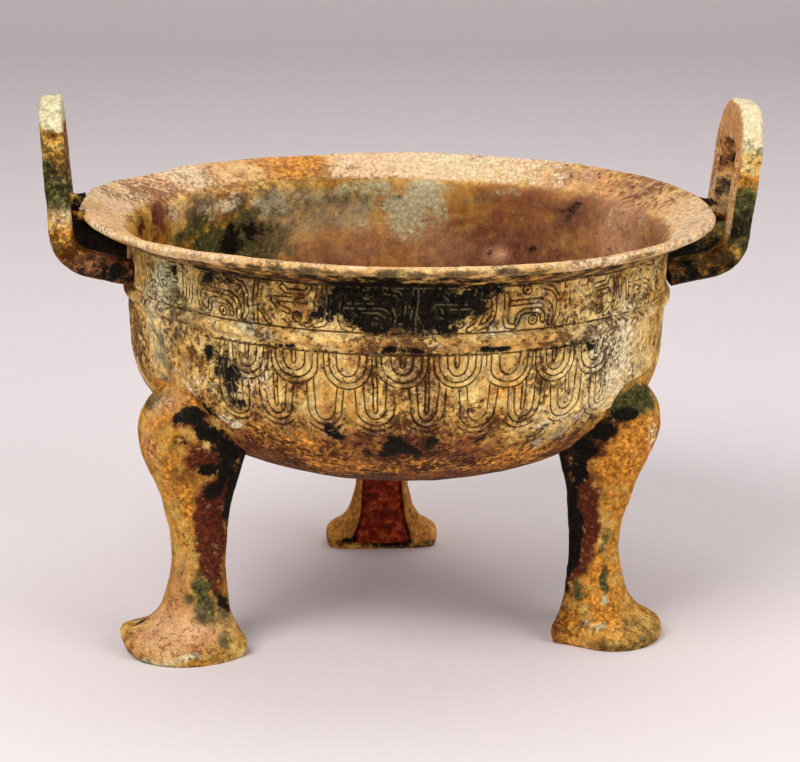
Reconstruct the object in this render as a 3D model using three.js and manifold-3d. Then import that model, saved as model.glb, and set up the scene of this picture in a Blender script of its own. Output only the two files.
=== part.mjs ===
// A bronze ding: a round-bottomed tripod cauldron with a flared rim, two upright
// handles set into its side, and three hoof-shaped legs.
//
// The vessel hangs a degree out of true on its legs, as the old casting does, so
// everything that belongs to it sits in a group that is turned about the rim's centre.
// Millimetres, +Z up, the floor at z = 0, the front towards -Y.
import * as THREE from 'three';
import { mergeVertices } from 'three/addons/utils/BufferGeometryUtils.js';
import Module from 'manifold-3d';

const wasm = await Module();
wasm.setup();

const rad = THREE.MathUtils.degToRad;

// The whole vessel
const MOUTH_RADIUS = 170;
const RIM_HEIGHT = 224.9;
const VESSEL_TILT = rad(1.05);
const GAP = 0.3;
const ROUND_SEGMENTS = 60;
// Moves the object so that its bounding box stands centred on the origin.
const CENTRING = new THREE.Vector3(-0.83, 0, 0);

// The bowl's wall, heights above the floor at the vessel's axis
const WALL = 4;
const LIP_THICKNESS = 4.6;
const LIP_ROUNDING = 1.4;
const NECK_RADIUS = 145.6;
const NECK_HEIGHT = 208.6;
const FLARE_ROOT_RADIUS = 150;
const FLARE_ROOT_HEIGHT = 211;
const BAND_HEIGHT = 185.4;
const RIDGE_HEIGHT = 181.4;
const RIDGE_HALF_WIDTH = 3.1;
const RIDGE_RADIUS = 147.6;
const SHOULDER_RADIUS = 144.6;
const SHOULDER_HEIGHT = 173.6;
const BELLY_RADIUS = 143.6;
const BELLY_HEIGHT = 156.6;
const BASE_HEIGHT = 82;
// The belly is a superellipse: 2 would be an ellipse, and more is squarer.
const BELLY_SQUARENESS = 2.15;
const BELLY_STEPS = 13;

// Legs: one section for each height, measured from the leg's own upright axis, with
// x outward from the vessel and y across the leg.
const LEG_SECTIONS = [
  { height: 0, inner: -14, widest: 5, outer: 35.5, halfWidth: 31.5 },
  { height: 4.5, inner: -14.6, widest: 5, outer: 36.5, halfWidth: 32.6 },
  { height: 9.5, inner: -14, widest: 3.5, outer: 33.5, halfWidth: 31.2 },
  { height: 12.5, inner: -13.2, widest: 0.5, outer: 28.8, halfWidth: 27.8 },
  { height: 16.5, inner: -12.4, widest: -2.5, outer: 24, halfWidth: 24.2 },
  { height: 21.5, inner: -11.4, widest: -4, outer: 19.6, halfWidth: 20.6 },
  { height: 29.5, inner: -10.5, widest: -5, outer: 15.3, halfWidth: 17 },
  { height: 39.5, inner: -9.9, widest: -5, outer: 12.8, halfWidth: 14.9 },
  { height: 51.5, inner: -9.7, widest: -5, outer: 12, halfWidth: 14.3 },
  { height: 63.5, inner: -9.8, widest: -5, outer: 13.8, halfWidth: 14.9 },
  { height: 75.5, inner: -10.3, widest: -5, outer: 17.4, halfWidth: 16.6 },
  { height: 87.5, inner: -11.4, widest: -4, outer: 21.6, halfWidth: 19.4 },
  { height: 99.5, inner: -13.6, widest: -2, outer: 27.6, halfWidth: 23 },
  { height: 111.5, inner: -15.5, widest: -1, outer: 32.6, halfWidth: 26.4 },
  { height: 121.5, inner: -17, widest: -1, outer: 33.6, halfWidth: 27.8 },
  { height: 131.5, inner: -18, widest: -2, outer: 30.8, halfWidth: 26.6 },
  { height: 139.5, inner: -18, widest: -4, outer: 23.8, halfWidth: 22.5 },
  { height: 145.5, inner: -17, widest: -6, outer: 14, halfWidth: 17 },
];
const LEG_SIDES = 28;
const LEG_LEVELS = 22;
// Above 1, the levels crowd towards the foot.
const LEVEL_CROWDING = 1.35;
// Squareness of the section in front of its widest line and behind it.
const LEG_OUTER_SQUARENESS = 2.1;
const LEG_INNER_SQUARENESS = 5;
const LEGS_CENTRE_X = -Math.sin(VESSEL_TILT) * (RIM_HEIGHT - BASE_HEIGHT);
// Reach is from the vessel's axis to the leg's, splay moves the foot out from the knee,
// and turn swings the leg about its own axis.
const LEGS = [
  { place: 'back', azimuth: rad(93.5), reach: 122, splay: 0, turn: 0 },
  { place: 'front_left', azimuth: rad(215), reach: 124, splay: 7, turn: rad(12) },
  { place: 'front_right', azimuth: rad(334.5), reach: 120.5, splay: -0.5, turn: rad(-6) },
];
const KNEE_HEIGHT = 125;

// Clay cores left in the legs, seen as a strip down each leg's inner face
const CORE_FOOT = 3;
const CORE_TOP = 92;
// Half the core's width is a fixed part and a share of half the leg's width.
const CORE_HALF_WIDTH = 6.6;
const CORE_WIDTH_SHARE = 0.3;
const CORE_OUTER_WALL = 5.5;
const CORE_RECESS = 1.2;
// The channel is cut this far past the leg's inner face.
const CHANNEL_REACH = 3;
const CORE_SIDES = 16;
const CORE_LEVELS = 12;
const CORE_INNER_SQUARENESS = 8;

// Stubs cast on the bowl, which the legs' sockets take
const STUB_ROOT = new THREE.Vector2(-5, 117.6);
const STUB_TIP = new THREE.Vector2(12, 104.6);
const STUB_ROOT_RADIUS = 10;
const STUB_TIP_RADIUS = 7.5;

// Handles: a bar bent up from the bowl's side, over, and back down
const HANDLE_AZIMUTH = rad(5);
const HANDLE_SPREAD = 27.5;
const BAR_WIDTH = 17;
const BAR_THICKNESS = 12.4;
const BAR_ROUNDING = 1.8;
const ARM_ROOT = new THREE.Vector2(136, 191.3);
const ARM_ELBOW = new THREE.Vector2(178.8, 200.6);
const ELBOW_RADIUS = 15;
const HANDLE_TOP = new THREE.Vector2(184.9, 273.2);
const TOP_CORNER_RADIUS = 21;
const HANDLE_STEPS = 60;

// Struts that tie the handles' uprights to the lip
const STRUT_RADIUS = 2.4;
const STRUT_HEIGHT = RIM_HEIGHT - 2.3;
const STRUT_SPREAD = 22;

// Bronze spacers that held the mould's core off its outer sections
const SPACER_SIZE = new THREE.Vector2(12, 10);
const SPACER_RINGS = [
  { radius: 42, count: 3, turn: rad(35) },
  { radius: 98, count: 6, turn: rad(5) },
];

const bronze = (color, roughness) => new THREE.MeshStandardMaterial({ color, roughness, metalness: 0.35 });
const MATERIALS = {
  bowl: bronze(0xb9a077, 0.75),
  leg: bronze(0xb07642, 0.7),
  handle: bronze(0x6f6a45, 0.7),
  strut: bronze(0x93492c, 0.75),
  spacer: bronze(0x8a6b45, 0.65),
  clay: new THREE.MeshStandardMaterial({ color: 0x4a1b12, roughness: 0.6, metalness: 0 }),
};

// Solids: closed meshes in, closed meshes out

function toSolid(geometry) {
  const bare = geometry.clone();
  bare.deleteAttribute('normal');
  bare.deleteAttribute('uv');
  const merged = mergeVertices(bare, 1e-3);
  const index = merged.index.array;
  const corners = [];
  for (let i = 0; i < index.length; i += 3) {
    const [a, b, c] = index.slice(i, i + 3);
    if (a !== b && b !== c && c !== a) corners.push(a, b, c);
  }
  return new wasm.Manifold(new wasm.Mesh({
    numProp: 3,
    vertProperties: Float32Array.from(merged.attributes.position.array),
    triVerts: Uint32Array.from(corners),
  }));
}

function toGeometry(solid) {
  const mesh = solid.getMesh();
  const geometry = new THREE.BufferGeometry();
  geometry.setAttribute('position', new THREE.BufferAttribute(mesh.vertProperties, 3));
  geometry.setIndex(new THREE.BufferAttribute(mesh.triVerts, 1));
  geometry.computeVertexNormals();
  return geometry;
}

function pieceMesh(name, solid, material) {
  const mesh = new THREE.Mesh(toGeometry(solid), material.clone());
  mesh.name = name;
  return mesh;
}

// Turns a profile (radius, height) about the Z axis.
function turned(profile) {
  return new THREE.LatheGeometry(profile, ROUND_SEGMENTS).rotateX(Math.PI / 2);
}

// The bowl

// Belly from the base's centre up to its widest ring, pushed out by a distance.
function bellyProfile(offset) {
  const across = BELLY_RADIUS + offset;
  const deep = BELLY_HEIGHT - BASE_HEIGHT + offset;
  const power = 2 / BELLY_SQUARENESS;
  const points = [];
  for (let step = 0; step <= BELLY_STEPS; step += 1) {
    const angle = (step / BELLY_STEPS) * (Math.PI / 2);
    const radius = across * Math.sin(angle) ** power;
    const height = BELLY_HEIGHT - deep * Math.max(Math.cos(angle), 0) ** power;
    points.push(new THREE.Vector2(step === 0 ? 0 : radius, height));
  }
  return points;
}

// Outer face above the belly: shoulder, half-round ridge, decorated band, neck, flare.
function upperProfile(offset) {
  const ridge = [-1, -0.7, 0, 0.7, 1].map((side) => new THREE.Vector2(
    SHOULDER_RADIUS + (RIDGE_RADIUS - SHOULDER_RADIUS) * Math.sqrt(1 - side * side) + offset,
    RIDGE_HEIGHT + side * RIDGE_HALF_WIDTH,
  ));
  return [
    new THREE.Vector2(SHOULDER_RADIUS + offset, SHOULDER_HEIGHT),
    ...ridge,
    new THREE.Vector2(SHOULDER_RADIUS + 0.6 + offset, BAND_HEIGHT),
    new THREE.Vector2(NECK_RADIUS + offset, NECK_HEIGHT),
    new THREE.Vector2(FLARE_ROOT_RADIUS + offset, FLARE_ROOT_HEIGHT - offset),
    new THREE.Vector2(MOUTH_RADIUS - LIP_ROUNDING + offset, RIM_HEIGHT - LIP_THICKNESS - offset),
    new THREE.Vector2(MOUTH_RADIUS + offset, RIM_HEIGHT - LIP_THICKNESS + LIP_ROUNDING),
    new THREE.Vector2(MOUTH_RADIUS + offset, RIM_HEIGHT - LIP_ROUNDING),
    new THREE.Vector2(MOUTH_RADIUS - LIP_ROUNDING + offset, RIM_HEIGHT + offset),
  ];
}

// Inner face from the lip down to the base's centre.
function cavityProfile() {
  const inner = NECK_RADIUS - WALL;
  const throat = RIM_HEIGHT - 11.5;
  return [
    new THREE.Vector2(MOUTH_RADIUS - 7, RIM_HEIGHT - 1.6),
    new THREE.Vector2(inner + 3.5, throat),
    new THREE.Vector2(inner, throat - 5),
    new THREE.Vector2(SHOULDER_RADIUS - WALL, RIDGE_HEIGHT),
    ...bellyProfile(-WALL).reverse(),
  ];
}

const bowlShell = () => toSolid(turned([...bellyProfile(0), ...upperProfile(0), ...cavityProfile()]));

// The space that the bowl takes up with its inside filled, and a gap round it.
function bowlEnvelope() {
  const outside = [...bellyProfile(GAP), ...upperProfile(GAP)];
  return toSolid(turned([...outside, new THREE.Vector2(0, RIM_HEIGHT + GAP)]));
}

function cavity() {
  const inside = cavityProfile().reverse();
  return toSolid(turned([...inside, new THREE.Vector2(0, RIM_HEIGHT)]));
}

// Legs and their cores

const LEG_HEIGHTS = LEG_SECTIONS.map((section) => section.height);
const legShape = new THREE.CubicInterpolant(
  LEG_HEIGHTS,
  LEG_SECTIONS.flatMap(({ inner, widest, outer, halfWidth }) => [inner, widest, outer, halfWidth]),
  4,
);

function legSection(splay) {
  return (height) => {
    const [inner, widest, outer, halfWidth] = legShape.evaluate(height);
    const out = splay * (1 - height / KNEE_HEIGHT);
    return { inner: inner + out, widest: widest + out, outer: outer + out, halfWidth };
  };
}

// A closed skin through D-shaped sections: a round-ended bar is pushed out, ring by
// ring, to the section at its height. The flat side of the D faces the vessel's axis.
function skinned(sectionAt, low, high, sides, levels, innerSquareness) {
  const geometry = new THREE.CylinderGeometry(1, 1, high - low, sides, levels).rotateX(Math.PI / 2);
  const position = geometry.attributes.position;
  const bend = (value, squareness) => Math.sign(value) * Math.abs(value) ** (2 / squareness);
  const clean = (value) => (Math.abs(value) < 1e-6 ? 0 : value);
  for (let i = 0; i < position.count; i += 1) {
    const rise = THREE.MathUtils.clamp(position.getZ(i) / (high - low) + 0.5, 0, 1);
    const height = low + (high - low) * rise ** LEVEL_CROWDING;
    const x = clean(position.getX(i));
    const y = clean(position.getY(i));
    const { inner, widest, outer, halfWidth } = sectionAt(height);
    const squareness = x > 0 ? LEG_OUTER_SQUARENESS : innerSquareness;
    const depth = x > 0 ? outer - widest : widest - inner;
    position.setXYZ(i, widest + depth * bend(x, squareness), halfWidth * bend(y, squareness), height);
  }
  return geometry;
}

// The clay fills the leg behind its walls and shows on the leg's inner face.
function coreSolid(splay, clearance, innerReach) {
  const legAt = legSection(splay);
  const coreAt = (height) => {
    const leg = legAt(height);
    return {
      inner: leg.inner - innerReach,
      widest: leg.widest,
      outer: leg.outer - CORE_OUTER_WALL + clearance,
      halfWidth: CORE_HALF_WIDTH + CORE_WIDTH_SHARE * leg.halfWidth + clearance,
    };
  };
  const low = CORE_FOOT - clearance;
  const high = CORE_TOP + clearance;
  return toSolid(skinned(coreAt, low, high, CORE_SIDES, CORE_LEVELS, CORE_INNER_SQUARENESS));
}

// A stub runs out and down from the belly, along a line in the leg's middle plane.
function stubSolid(clearance) {
  const along = STUB_TIP.clone().sub(STUB_ROOT);
  const length = along.length() + clearance;
  const direction = new THREE.Vector3(along.x, 0, along.y).normalize();
  const middle = new THREE.Vector3(STUB_ROOT.x, 0, STUB_ROOT.y).addScaledVector(direction, length / 2);
  const stub = new THREE.CylinderGeometry(
    STUB_TIP_RADIUS + clearance,
    STUB_ROOT_RADIUS + clearance,
    length,
    16,
  );
  const turn = new THREE.Quaternion().setFromUnitVectors(new THREE.Vector3(0, 1, 0), direction);
  const placed = new THREE.Matrix4().compose(middle, turn, new THREE.Vector3(1, 1, 1));
  return toSolid(stub.applyMatrix4(placed));
}

function legSolid(splay, envelopeInLeg) {
  const low = LEG_HEIGHTS[0];
  const high = LEG_HEIGHTS[LEG_HEIGHTS.length - 1];
  const outside = skinned(legSection(splay), low, high, LEG_SIDES, LEG_LEVELS, LEG_INNER_SQUARENESS);
  return toSolid(outside)
    .subtract(coreSolid(splay, GAP, CHANNEL_REACH))
    .subtract(stubSolid(GAP))
    .subtract(envelopeInLeg);
}

// Handles and struts

// Centre line of a handle's bar, in a frame with x outward and y across the handle.
class HandlePath extends THREE.CurvePath {
  constructor() {
    super();
    const armSlope = ARM_ELBOW.clone().sub(ARM_ROOT).normalize();
    const lean = HANDLE_TOP.clone().sub(ARM_ELBOW).normalize();
    const at = (point, across) => new THREE.Vector3(point.x, across, point.y);
    const armEnd = ARM_ELBOW.clone().addScaledVector(armSlope, -ELBOW_RADIUS);
    const uprightStart = ARM_ELBOW.clone().addScaledVector(lean, ELBOW_RADIUS);
    const uprightEnd = HANDLE_TOP.clone().addScaledVector(lean, -TOP_CORNER_RADIUS);
    const inset = HANDLE_SPREAD - TOP_CORNER_RADIUS;
    const corner = TOP_CORNER_RADIUS * 0.5523;
    const towardsTop = HANDLE_TOP.clone().addScaledVector(lean, corner - TOP_CORNER_RADIUS);
    const line = (from, to) => this.add(new THREE.LineCurve3(from, to));
    const round = (...points) => this.add(new THREE.CubicBezierCurve3(...points));
    const bend = (from, to, across) => this.add(
      new THREE.QuadraticBezierCurve3(at(from, across), at(ARM_ELBOW, across), at(to, across)),
    );
    line(at(ARM_ROOT, -HANDLE_SPREAD), at(armEnd, -HANDLE_SPREAD));
    bend(armEnd, uprightStart, -HANDLE_SPREAD);
    line(at(uprightStart, -HANDLE_SPREAD), at(uprightEnd, -HANDLE_SPREAD));
    round(
      at(uprightEnd, -HANDLE_SPREAD),
      at(towardsTop, -HANDLE_SPREAD),
      at(HANDLE_TOP, -inset - corner),
      at(HANDLE_TOP, -inset),
    );
    line(at(HANDLE_TOP, -inset), at(HANDLE_TOP, inset));
    round(
      at(HANDLE_TOP, inset),
      at(HANDLE_TOP, inset + corner),
      at(towardsTop, HANDLE_SPREAD),
      at(uprightEnd, HANDLE_SPREAD),
    );
    line(at(uprightEnd, HANDLE_SPREAD), at(uprightStart, HANDLE_SPREAD));
    bend(uprightStart, armEnd, HANDLE_SPREAD);
    line(at(armEnd, HANDLE_SPREAD), at(ARM_ROOT, HANDLE_SPREAD));
  }
}

// The bar's section, with chamfered edges; its x runs across the handle.
function barSection(clearance) {
  const halfWidth = BAR_WIDTH / 2 + clearance;
  const halfThickness = BAR_THICKNESS / 2 + clearance;
  const cut = BAR_ROUNDING;
  return new THREE.Shape([
    new THREE.Vector2(halfWidth - cut, -halfThickness),
    new THREE.Vector2(halfWidth, cut - halfThickness),
    new THREE.Vector2(halfWidth, halfThickness - cut),
    new THREE.Vector2(halfWidth - cut, halfThickness),
    new THREE.Vector2(cut - halfWidth, halfThickness),
    new THREE.Vector2(-halfWidth, halfThickness - cut),
    new THREE.Vector2(-halfWidth, cut - halfThickness),
    new THREE.Vector2(cut - halfWidth, -halfThickness),
  ]);
}

function barSolid(clearance) {
  return toSolid(new THREE.ExtrudeGeometry(barSection(clearance), {
    extrudePath: new HandlePath(),
    steps: HANDLE_STEPS,
    bevelEnabled: false,
  }));
}

function strutSolid(across) {
  const start = MOUTH_RADIUS - 5;
  const length = ARM_ELBOW.x - start;
  const strut = new THREE.CylinderGeometry(STRUT_RADIUS, STRUT_RADIUS, length, 10);
  return toSolid(strut.rotateZ(Math.PI / 2).translate(start + length / 2, across, STRUT_HEIGHT));
}

// Spacers

// A block through the wall, square to it, at a distance from the vessel's axis.
function spacerBlock(radius, azimuth, clearance) {
  const belly = bellyProfile(0);
  const outside = belly.findIndex((point) => point.x > radius);
  const [below, above] = [belly[outside - 1], belly[outside]];
  const share = (radius - below.x) / (above.x - below.x);
  const point = below.clone().lerp(above, share);
  const slope = Math.atan2(above.y - below.y, above.x - below.x);
  const block = new THREE.BoxGeometry(
    SPACER_SIZE.x + 2 * clearance,
    SPACER_SIZE.y + 2 * clearance,
    4 * WALL,
  );
  block.rotateY(-slope).translate(point.x, 0, point.y).rotateZ(azimuth);
  return toSolid(block);
}

function spacerPlaces() {
  return SPACER_RINGS.flatMap(({ radius, count, turn }) => Array.from({ length: count }, (_, i) => ({
    radius,
    azimuth: turn + (i * 2 * Math.PI) / count,
  })));
}

// Assembly

const ding = new THREE.Group();
ding.position.copy(CENTRING);

const vessel = new THREE.Group();
vessel.position.set(0, 0, RIM_HEIGHT);
vessel.rotation.y = VESSEL_TILT;
const heights = new THREE.Group();
heights.position.z = -RIM_HEIGHT;
vessel.add(heights);
vessel.updateMatrixWorld(true);
const vesselToWorld = heights.matrixWorld;

const legGroups = LEGS.map(({ azimuth, reach, turn }) => {
  const group = new THREE.Group();
  group.rotation.z = azimuth + turn;
  group.position.set(
    LEGS_CENTRE_X + reach * Math.cos(azimuth),
    reach * Math.sin(azimuth),
    0,
  );
  group.updateMatrixWorld(true);
  return group;
});

const moved = (solid, matrix) => solid.transform(matrix.elements);

let bowl = bowlShell();
const wall = bowl;
const envelope = bowlEnvelope();
const inside = cavity();

// Legs stand on the floor, outside the vessel's tilted frame.
LEGS.forEach(({ place, splay }, i) => {
  const group = legGroups[i];
  const legToVessel = vesselToWorld.clone().invert().multiply(group.matrixWorld);
  const stub = moved(stubSolid(0), legToVessel).subtract(inside);
  bowl = bowl.add(stub);
  const envelopeInLeg = moved(envelope, legToVessel.clone().invert());
  group.add(pieceMesh(`leg_${place}`, legSolid(splay, envelopeInLeg), MATERIALS.leg));
  group.add(pieceMesh(`leg_core_${place}`, coreSolid(splay, 0, -CORE_RECESS), MATERIALS.clay));
  ding.add(group);
});

// Handles, each with the two struts that tie it to the lip
[
  { side: 'right', azimuth: HANDLE_AZIMUTH, near: 'front', far: 'back' },
  { side: 'left', azimuth: HANDLE_AZIMUTH + Math.PI, near: 'back', far: 'front' },
].forEach(({ side, azimuth, near, far }) => {
  const turn = new THREE.Matrix4().makeRotationZ(azimuth);
  const handle = moved(barSolid(0), turn).subtract(inside);
  const handleRoom = moved(barSolid(GAP), turn);
  bowl = bowl.subtract(handleRoom);
  heights.add(pieceMesh(`handle_${side}`, handle, MATERIALS.handle));
  [[near, -STRUT_SPREAD], [far, STRUT_SPREAD]].forEach(([end, across]) => {
    const strut = moved(strutSolid(across), turn).subtract(envelope).subtract(handleRoom);
    heights.add(pieceMesh(`strut_${side}_${end}`, strut, MATERIALS.strut));
  });
});

spacerPlaces().forEach(({ radius, azimuth }, i) => {
  const spacer = spacerBlock(radius, azimuth, 0).intersect(wall);
  bowl = bowl.subtract(spacerBlock(radius, azimuth, GAP));
  heights.add(pieceMesh(`spacer_${i + 1}`, spacer, MATERIALS.spacer));
});

heights.add(pieceMesh('bowl', bowl, MATERIALS.bowl));
ding.add(vessel);

export default ding;
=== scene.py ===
"""The looks of a bronze ding: a round-bottomed tripod cauldron, cast and long buried.

Every shape is worked out in millimetres as whole numpy arrays, with heights above the
floor, and `piece` turns it to metres. The vessel hangs a degree out of true on its legs, so
its pieces are worked out upright and then tilted about the rim's centre, as in the CAD part.
Azimuths run from the front (-Y) towards the handle on the photo's right (+X).
"""
import math

import bpy
import numpy as np
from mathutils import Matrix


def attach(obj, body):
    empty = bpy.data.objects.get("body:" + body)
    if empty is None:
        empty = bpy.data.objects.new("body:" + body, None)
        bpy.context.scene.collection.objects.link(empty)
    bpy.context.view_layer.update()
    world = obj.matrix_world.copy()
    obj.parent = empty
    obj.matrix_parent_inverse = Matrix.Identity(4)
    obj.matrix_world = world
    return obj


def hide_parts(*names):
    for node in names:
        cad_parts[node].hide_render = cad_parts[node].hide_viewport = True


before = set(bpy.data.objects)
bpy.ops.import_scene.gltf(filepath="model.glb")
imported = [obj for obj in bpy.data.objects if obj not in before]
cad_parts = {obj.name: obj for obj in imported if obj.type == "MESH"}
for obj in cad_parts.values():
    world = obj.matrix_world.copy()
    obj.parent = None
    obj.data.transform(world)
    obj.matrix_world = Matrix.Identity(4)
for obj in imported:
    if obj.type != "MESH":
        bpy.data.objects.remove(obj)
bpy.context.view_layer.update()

MM = 0.001

# The whole vessel, as in the CAD part
MOUTH_RADIUS = 170
RIM_HEIGHT = 224.9
TILT = math.radians(1.05)
CENTRING = -0.83
WALL = 4

# The bowl's outer wall
NECK_RADIUS = 145.6
SHOULDER_RADIUS = 144.6
RIDGE_HEIGHT = 181.4
RIDGE_HALF_WIDTH = 3.1
RIDGE_RISE = 3.0
BELLY_RADIUS = 143.6
BELLY_HEIGHT = 156.6
BASE_HEIGHT = 82
BELLY_SQUARENESS = 2.15

# Decoration, heights on the outer wall
BAND_BOTTOM = 185.5
BAND_TOP = 209.5
BAND_START = -14.4
SCALES_TOP = 174.5
UPPER_BOTTOM = 156.9
LOWER_BOTTOM = 133.2
UNITS = 11
SCALES = 3 * UNITS
SCALE_PITCH = 360 / SCALES
SCALES_START = 1.4

# Columns round the bowl: fine where it is decorated, coarse elsewhere
COARSE = 300
FINE = 3 * COARSE


# Camera: the place and lens that the rim's ellipse and the feet in the photo give

CAMERA_TARGET = (0.16, 0, 127.14)
CAMERA_DISTANCE = 1700
CAMERA_ELEVATION = math.radians(13.45)
LENS = 140.29


def make_camera():
    data = bpy.data.cameras.new("camera")
    data.lens = LENS
    data.sensor_width = 36
    data.clip_end = 20
    camera = bpy.data.objects.new("camera", data)
    x, y, z = CAMERA_TARGET
    y -= CAMERA_DISTANCE * math.cos(CAMERA_ELEVATION)
    z += CAMERA_DISTANCE * math.sin(CAMERA_ELEVATION)
    camera.location = (x * MM, y * MM, z * MM)
    camera.rotation_euler = (math.pi / 2 - CAMERA_ELEVATION, 0, 0)
    bpy.context.scene.collection.objects.link(camera)
    bpy.context.scene.camera = camera


# Fields: numbers for whole arrays of points

def grain(points, size, seed):
    """Smooth random field from -1 to 1. Each corner of a lattice of cubes `size` wide has a
    random number of its own, and inside a cube its eight corners are blended smoothly."""
    place = points / size + 31.7 * seed
    corner = np.floor(place).astype(np.int64)
    part = place - corner
    part = part * part * (3 - 2 * part)
    total = np.zeros(len(points))
    for step in np.ndindex(2, 2, 2):
        key = ((corner + step) * (73856093, 19349663, 83492791)).sum(1) + 977 * seed
        key = ((key ^ (key >> 13)) * 1274126177) & 0x7FFFFFFF
        key = ((key ^ (key >> 15)) * 668265263) & 0x7FFFFFFF
        number = ((key >> 8) & 0xFFFF) / 32767.5 - 1
        total += number * np.where(step, part, 1 - part).prod(1)
    return total


def rough(points, size, seed, layers=3):
    """Sum of random fields, each half the size and half the height of the one before."""
    return sum(grain(points, size / 2**k, seed + 7 * k) / 2**k for k in range(layers))


def smooth(value, low, high):
    """0 below low, 1 above high, and an S-shaped rise between."""
    share = np.clip((value - low) / (high - low), 0, 1)
    return share * share * (3 - 2 * share)


def fall(value, low, high):
    """1 below low, 0 above high, and an S-shaped fall between."""
    return 1 - smooth(value, low, high)


def bell(value, middle, half):
    """1 at the middle, falling away like a bell on both sides."""
    return np.exp(-((value - middle) / half) ** 2)


def stains(points, spots, ragged=5.0, seed=3):
    """Soft-edged spots, each (x, y, z, reach across, reach up, strength). The value falls
    from the strength at the middle to 0 at 1.6 reaches, and edges are made ragged by
    moving the points about before they are measured."""
    shift = np.stack([rough(points, 16, seed + k, 3) for k in range(3)], 1)
    moved = points + ragged * shift
    total = np.zeros(len(points))
    for x, y, z, across, up, strength in spots:
        away = np.sqrt(((moved[:, 0] - x) ** 2 + (moved[:, 1] - y) ** 2) / across**2
                       + ((moved[:, 2] - z) / up) ** 2)
        total = np.maximum(total, strength * fall(away, 0.3, 1.6))
    return total


def turned(first, second, angle):
    """Two coordinates after a turn that carries the first axis towards the second."""
    cos, sin = math.cos(angle), math.sin(angle)
    return first * cos - second * sin, first * sin + second * cos


def hang(points):
    """Tilts the vessel's own points about the rim's centre, and centres the object."""
    x, z = turned(points[:, 0], points[:, 2] - RIM_HEIGHT, -TILT)
    return np.stack([x + CENTRING, points[:, 1], z + RIM_HEIGHT], 1)


def on_wall(azimuth, height, radius):
    """The point of the wall at an azimuth in degrees and a height. The radius is the one
    above the belly, and shrinks towards the base as the belly does."""
    depth = max(BELLY_HEIGHT - height, 0) / (BELLY_HEIGHT - BASE_HEIGHT)
    radius *= (1 - depth**BELLY_SQUARENESS) ** (1 / BELLY_SQUARENESS)
    angle = math.radians(azimuth)
    return radius * math.sin(angle), -radius * math.cos(angle), height


def lengths_along(path):
    """How far along a path each of its points lies."""
    return np.concatenate([[0], np.cumsum(np.linalg.norm(np.diff(path, axis=0), axis=1))])


def at_places(rows, along, places):
    """Rows of numbers that go with a path's points, worked out at other places along it."""
    return np.stack([np.interp(places, along, column) for column in rows.T], 1)


# Meshes

def piece(name, points, faces, material, slot, replaced, **layers):
    """A mesh object in metres at the origin, and the CAD nodes that it stands for. A layer
    is one number for each point, or one for all."""
    mesh = bpy.data.meshes.new(name)
    mesh.from_pydata(points * MM, [], faces)
    mesh.update()
    mesh.shade_smooth()
    for layer, values in layers.items():
        attribute = mesh.attributes.new(layer, "FLOAT", "POINT")
        attribute.data.foreach_set("value", np.full(len(points), values, np.float32))
    mesh.materials.append(material)
    made = bpy.data.objects.new(name, mesh)
    bpy.context.scene.collection.objects.link(made)
    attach(made, "root")
    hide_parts(*replaced)


def between(start_a, count_a, start_b, count_b):
    """Triangles from a ring of points to the next one outward or upward. The rings have the
    same number of points, or one has three times the other's, or one is a single point."""
    fewer, more = sorted((count_a, count_b))
    j = np.arange(fewer if fewer > 1 else more)
    k = (j + 1) % len(j)
    a, next_a = start_a + j % count_a, start_a + k % count_a
    b, next_b = start_b + j % count_b, start_b + k % count_b
    if fewer in (1, more):
        rows = [(a, next_a, next_b)] * (count_a > 1) + [(a, next_b, b)] * (count_b > 1)
    elif count_b > count_a:
        f = [start_b + (3 * j + step) % count_b for step in range(4)]
        rows = [(a, f[1], f[0]), (a, f[2], f[1]), (a, next_a, f[2]), (next_a, f[3], f[2])]
    else:
        f = [start_a + (3 * j + step) % count_a for step in range(4)]
        rows = [(f[0], f[1], b), (f[1], next_b, b), (f[1], f[2], next_b), (f[2], f[3], next_b)]
    return np.concatenate([np.stack(row, 1) for row in rows])


def ring_faces(counts):
    """Triangles of a closed skin through rings of points, from first pole to last."""
    starts = np.concatenate([[0], np.cumsum(counts)])
    return np.concatenate([
        between(starts[i], counts[i], starts[i + 1], counts[i + 1]) for i in range(len(counts) - 1)
    ])


def capped(grid):
    """Points and triangles of a tube given as rows of rings, closed by a middle point at
    each end. The rings turn anticlockwise seen from the end that they run towards."""
    rows, columns, _ = grid.shape
    points = np.concatenate([grid[:1].mean(1), grid.reshape(-1, 3), grid[-1:].mean(1)])
    return points, ring_faces([1] + [columns] * rows + [1])


# Materials

def linear(hex_colour):
    """sRGB hex to linear RGBA."""
    parts = [int(hex_colour[i:i + 2], 16) / 255 for i in (1, 3, 5)]
    return [p / 12.92 if p <= 0.04045 else ((p + 0.055) / 1.055) ** 2.4 for p in parts] + [1]


def add(tree, kind, links=None, **settings):
    """One node: its settings, then its inputs by name or number, each a value or a socket."""
    node = tree.nodes.new(kind)
    for key, value in settings.items():
        setattr(node, key, value)
    for key, value in (links or {}).items():
        socket = node.inputs[key]
        if isinstance(value, bpy.types.NodeSocket):
            tree.links.new(value, socket)
        else:
            socket.default_value = value
    return node


# The most that noise moves a crust's edge, in the units of its layer, and the weak mirror
# shine of earthy minerals
CRUST_REACH = 5.0
DULL = 0.06


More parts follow.
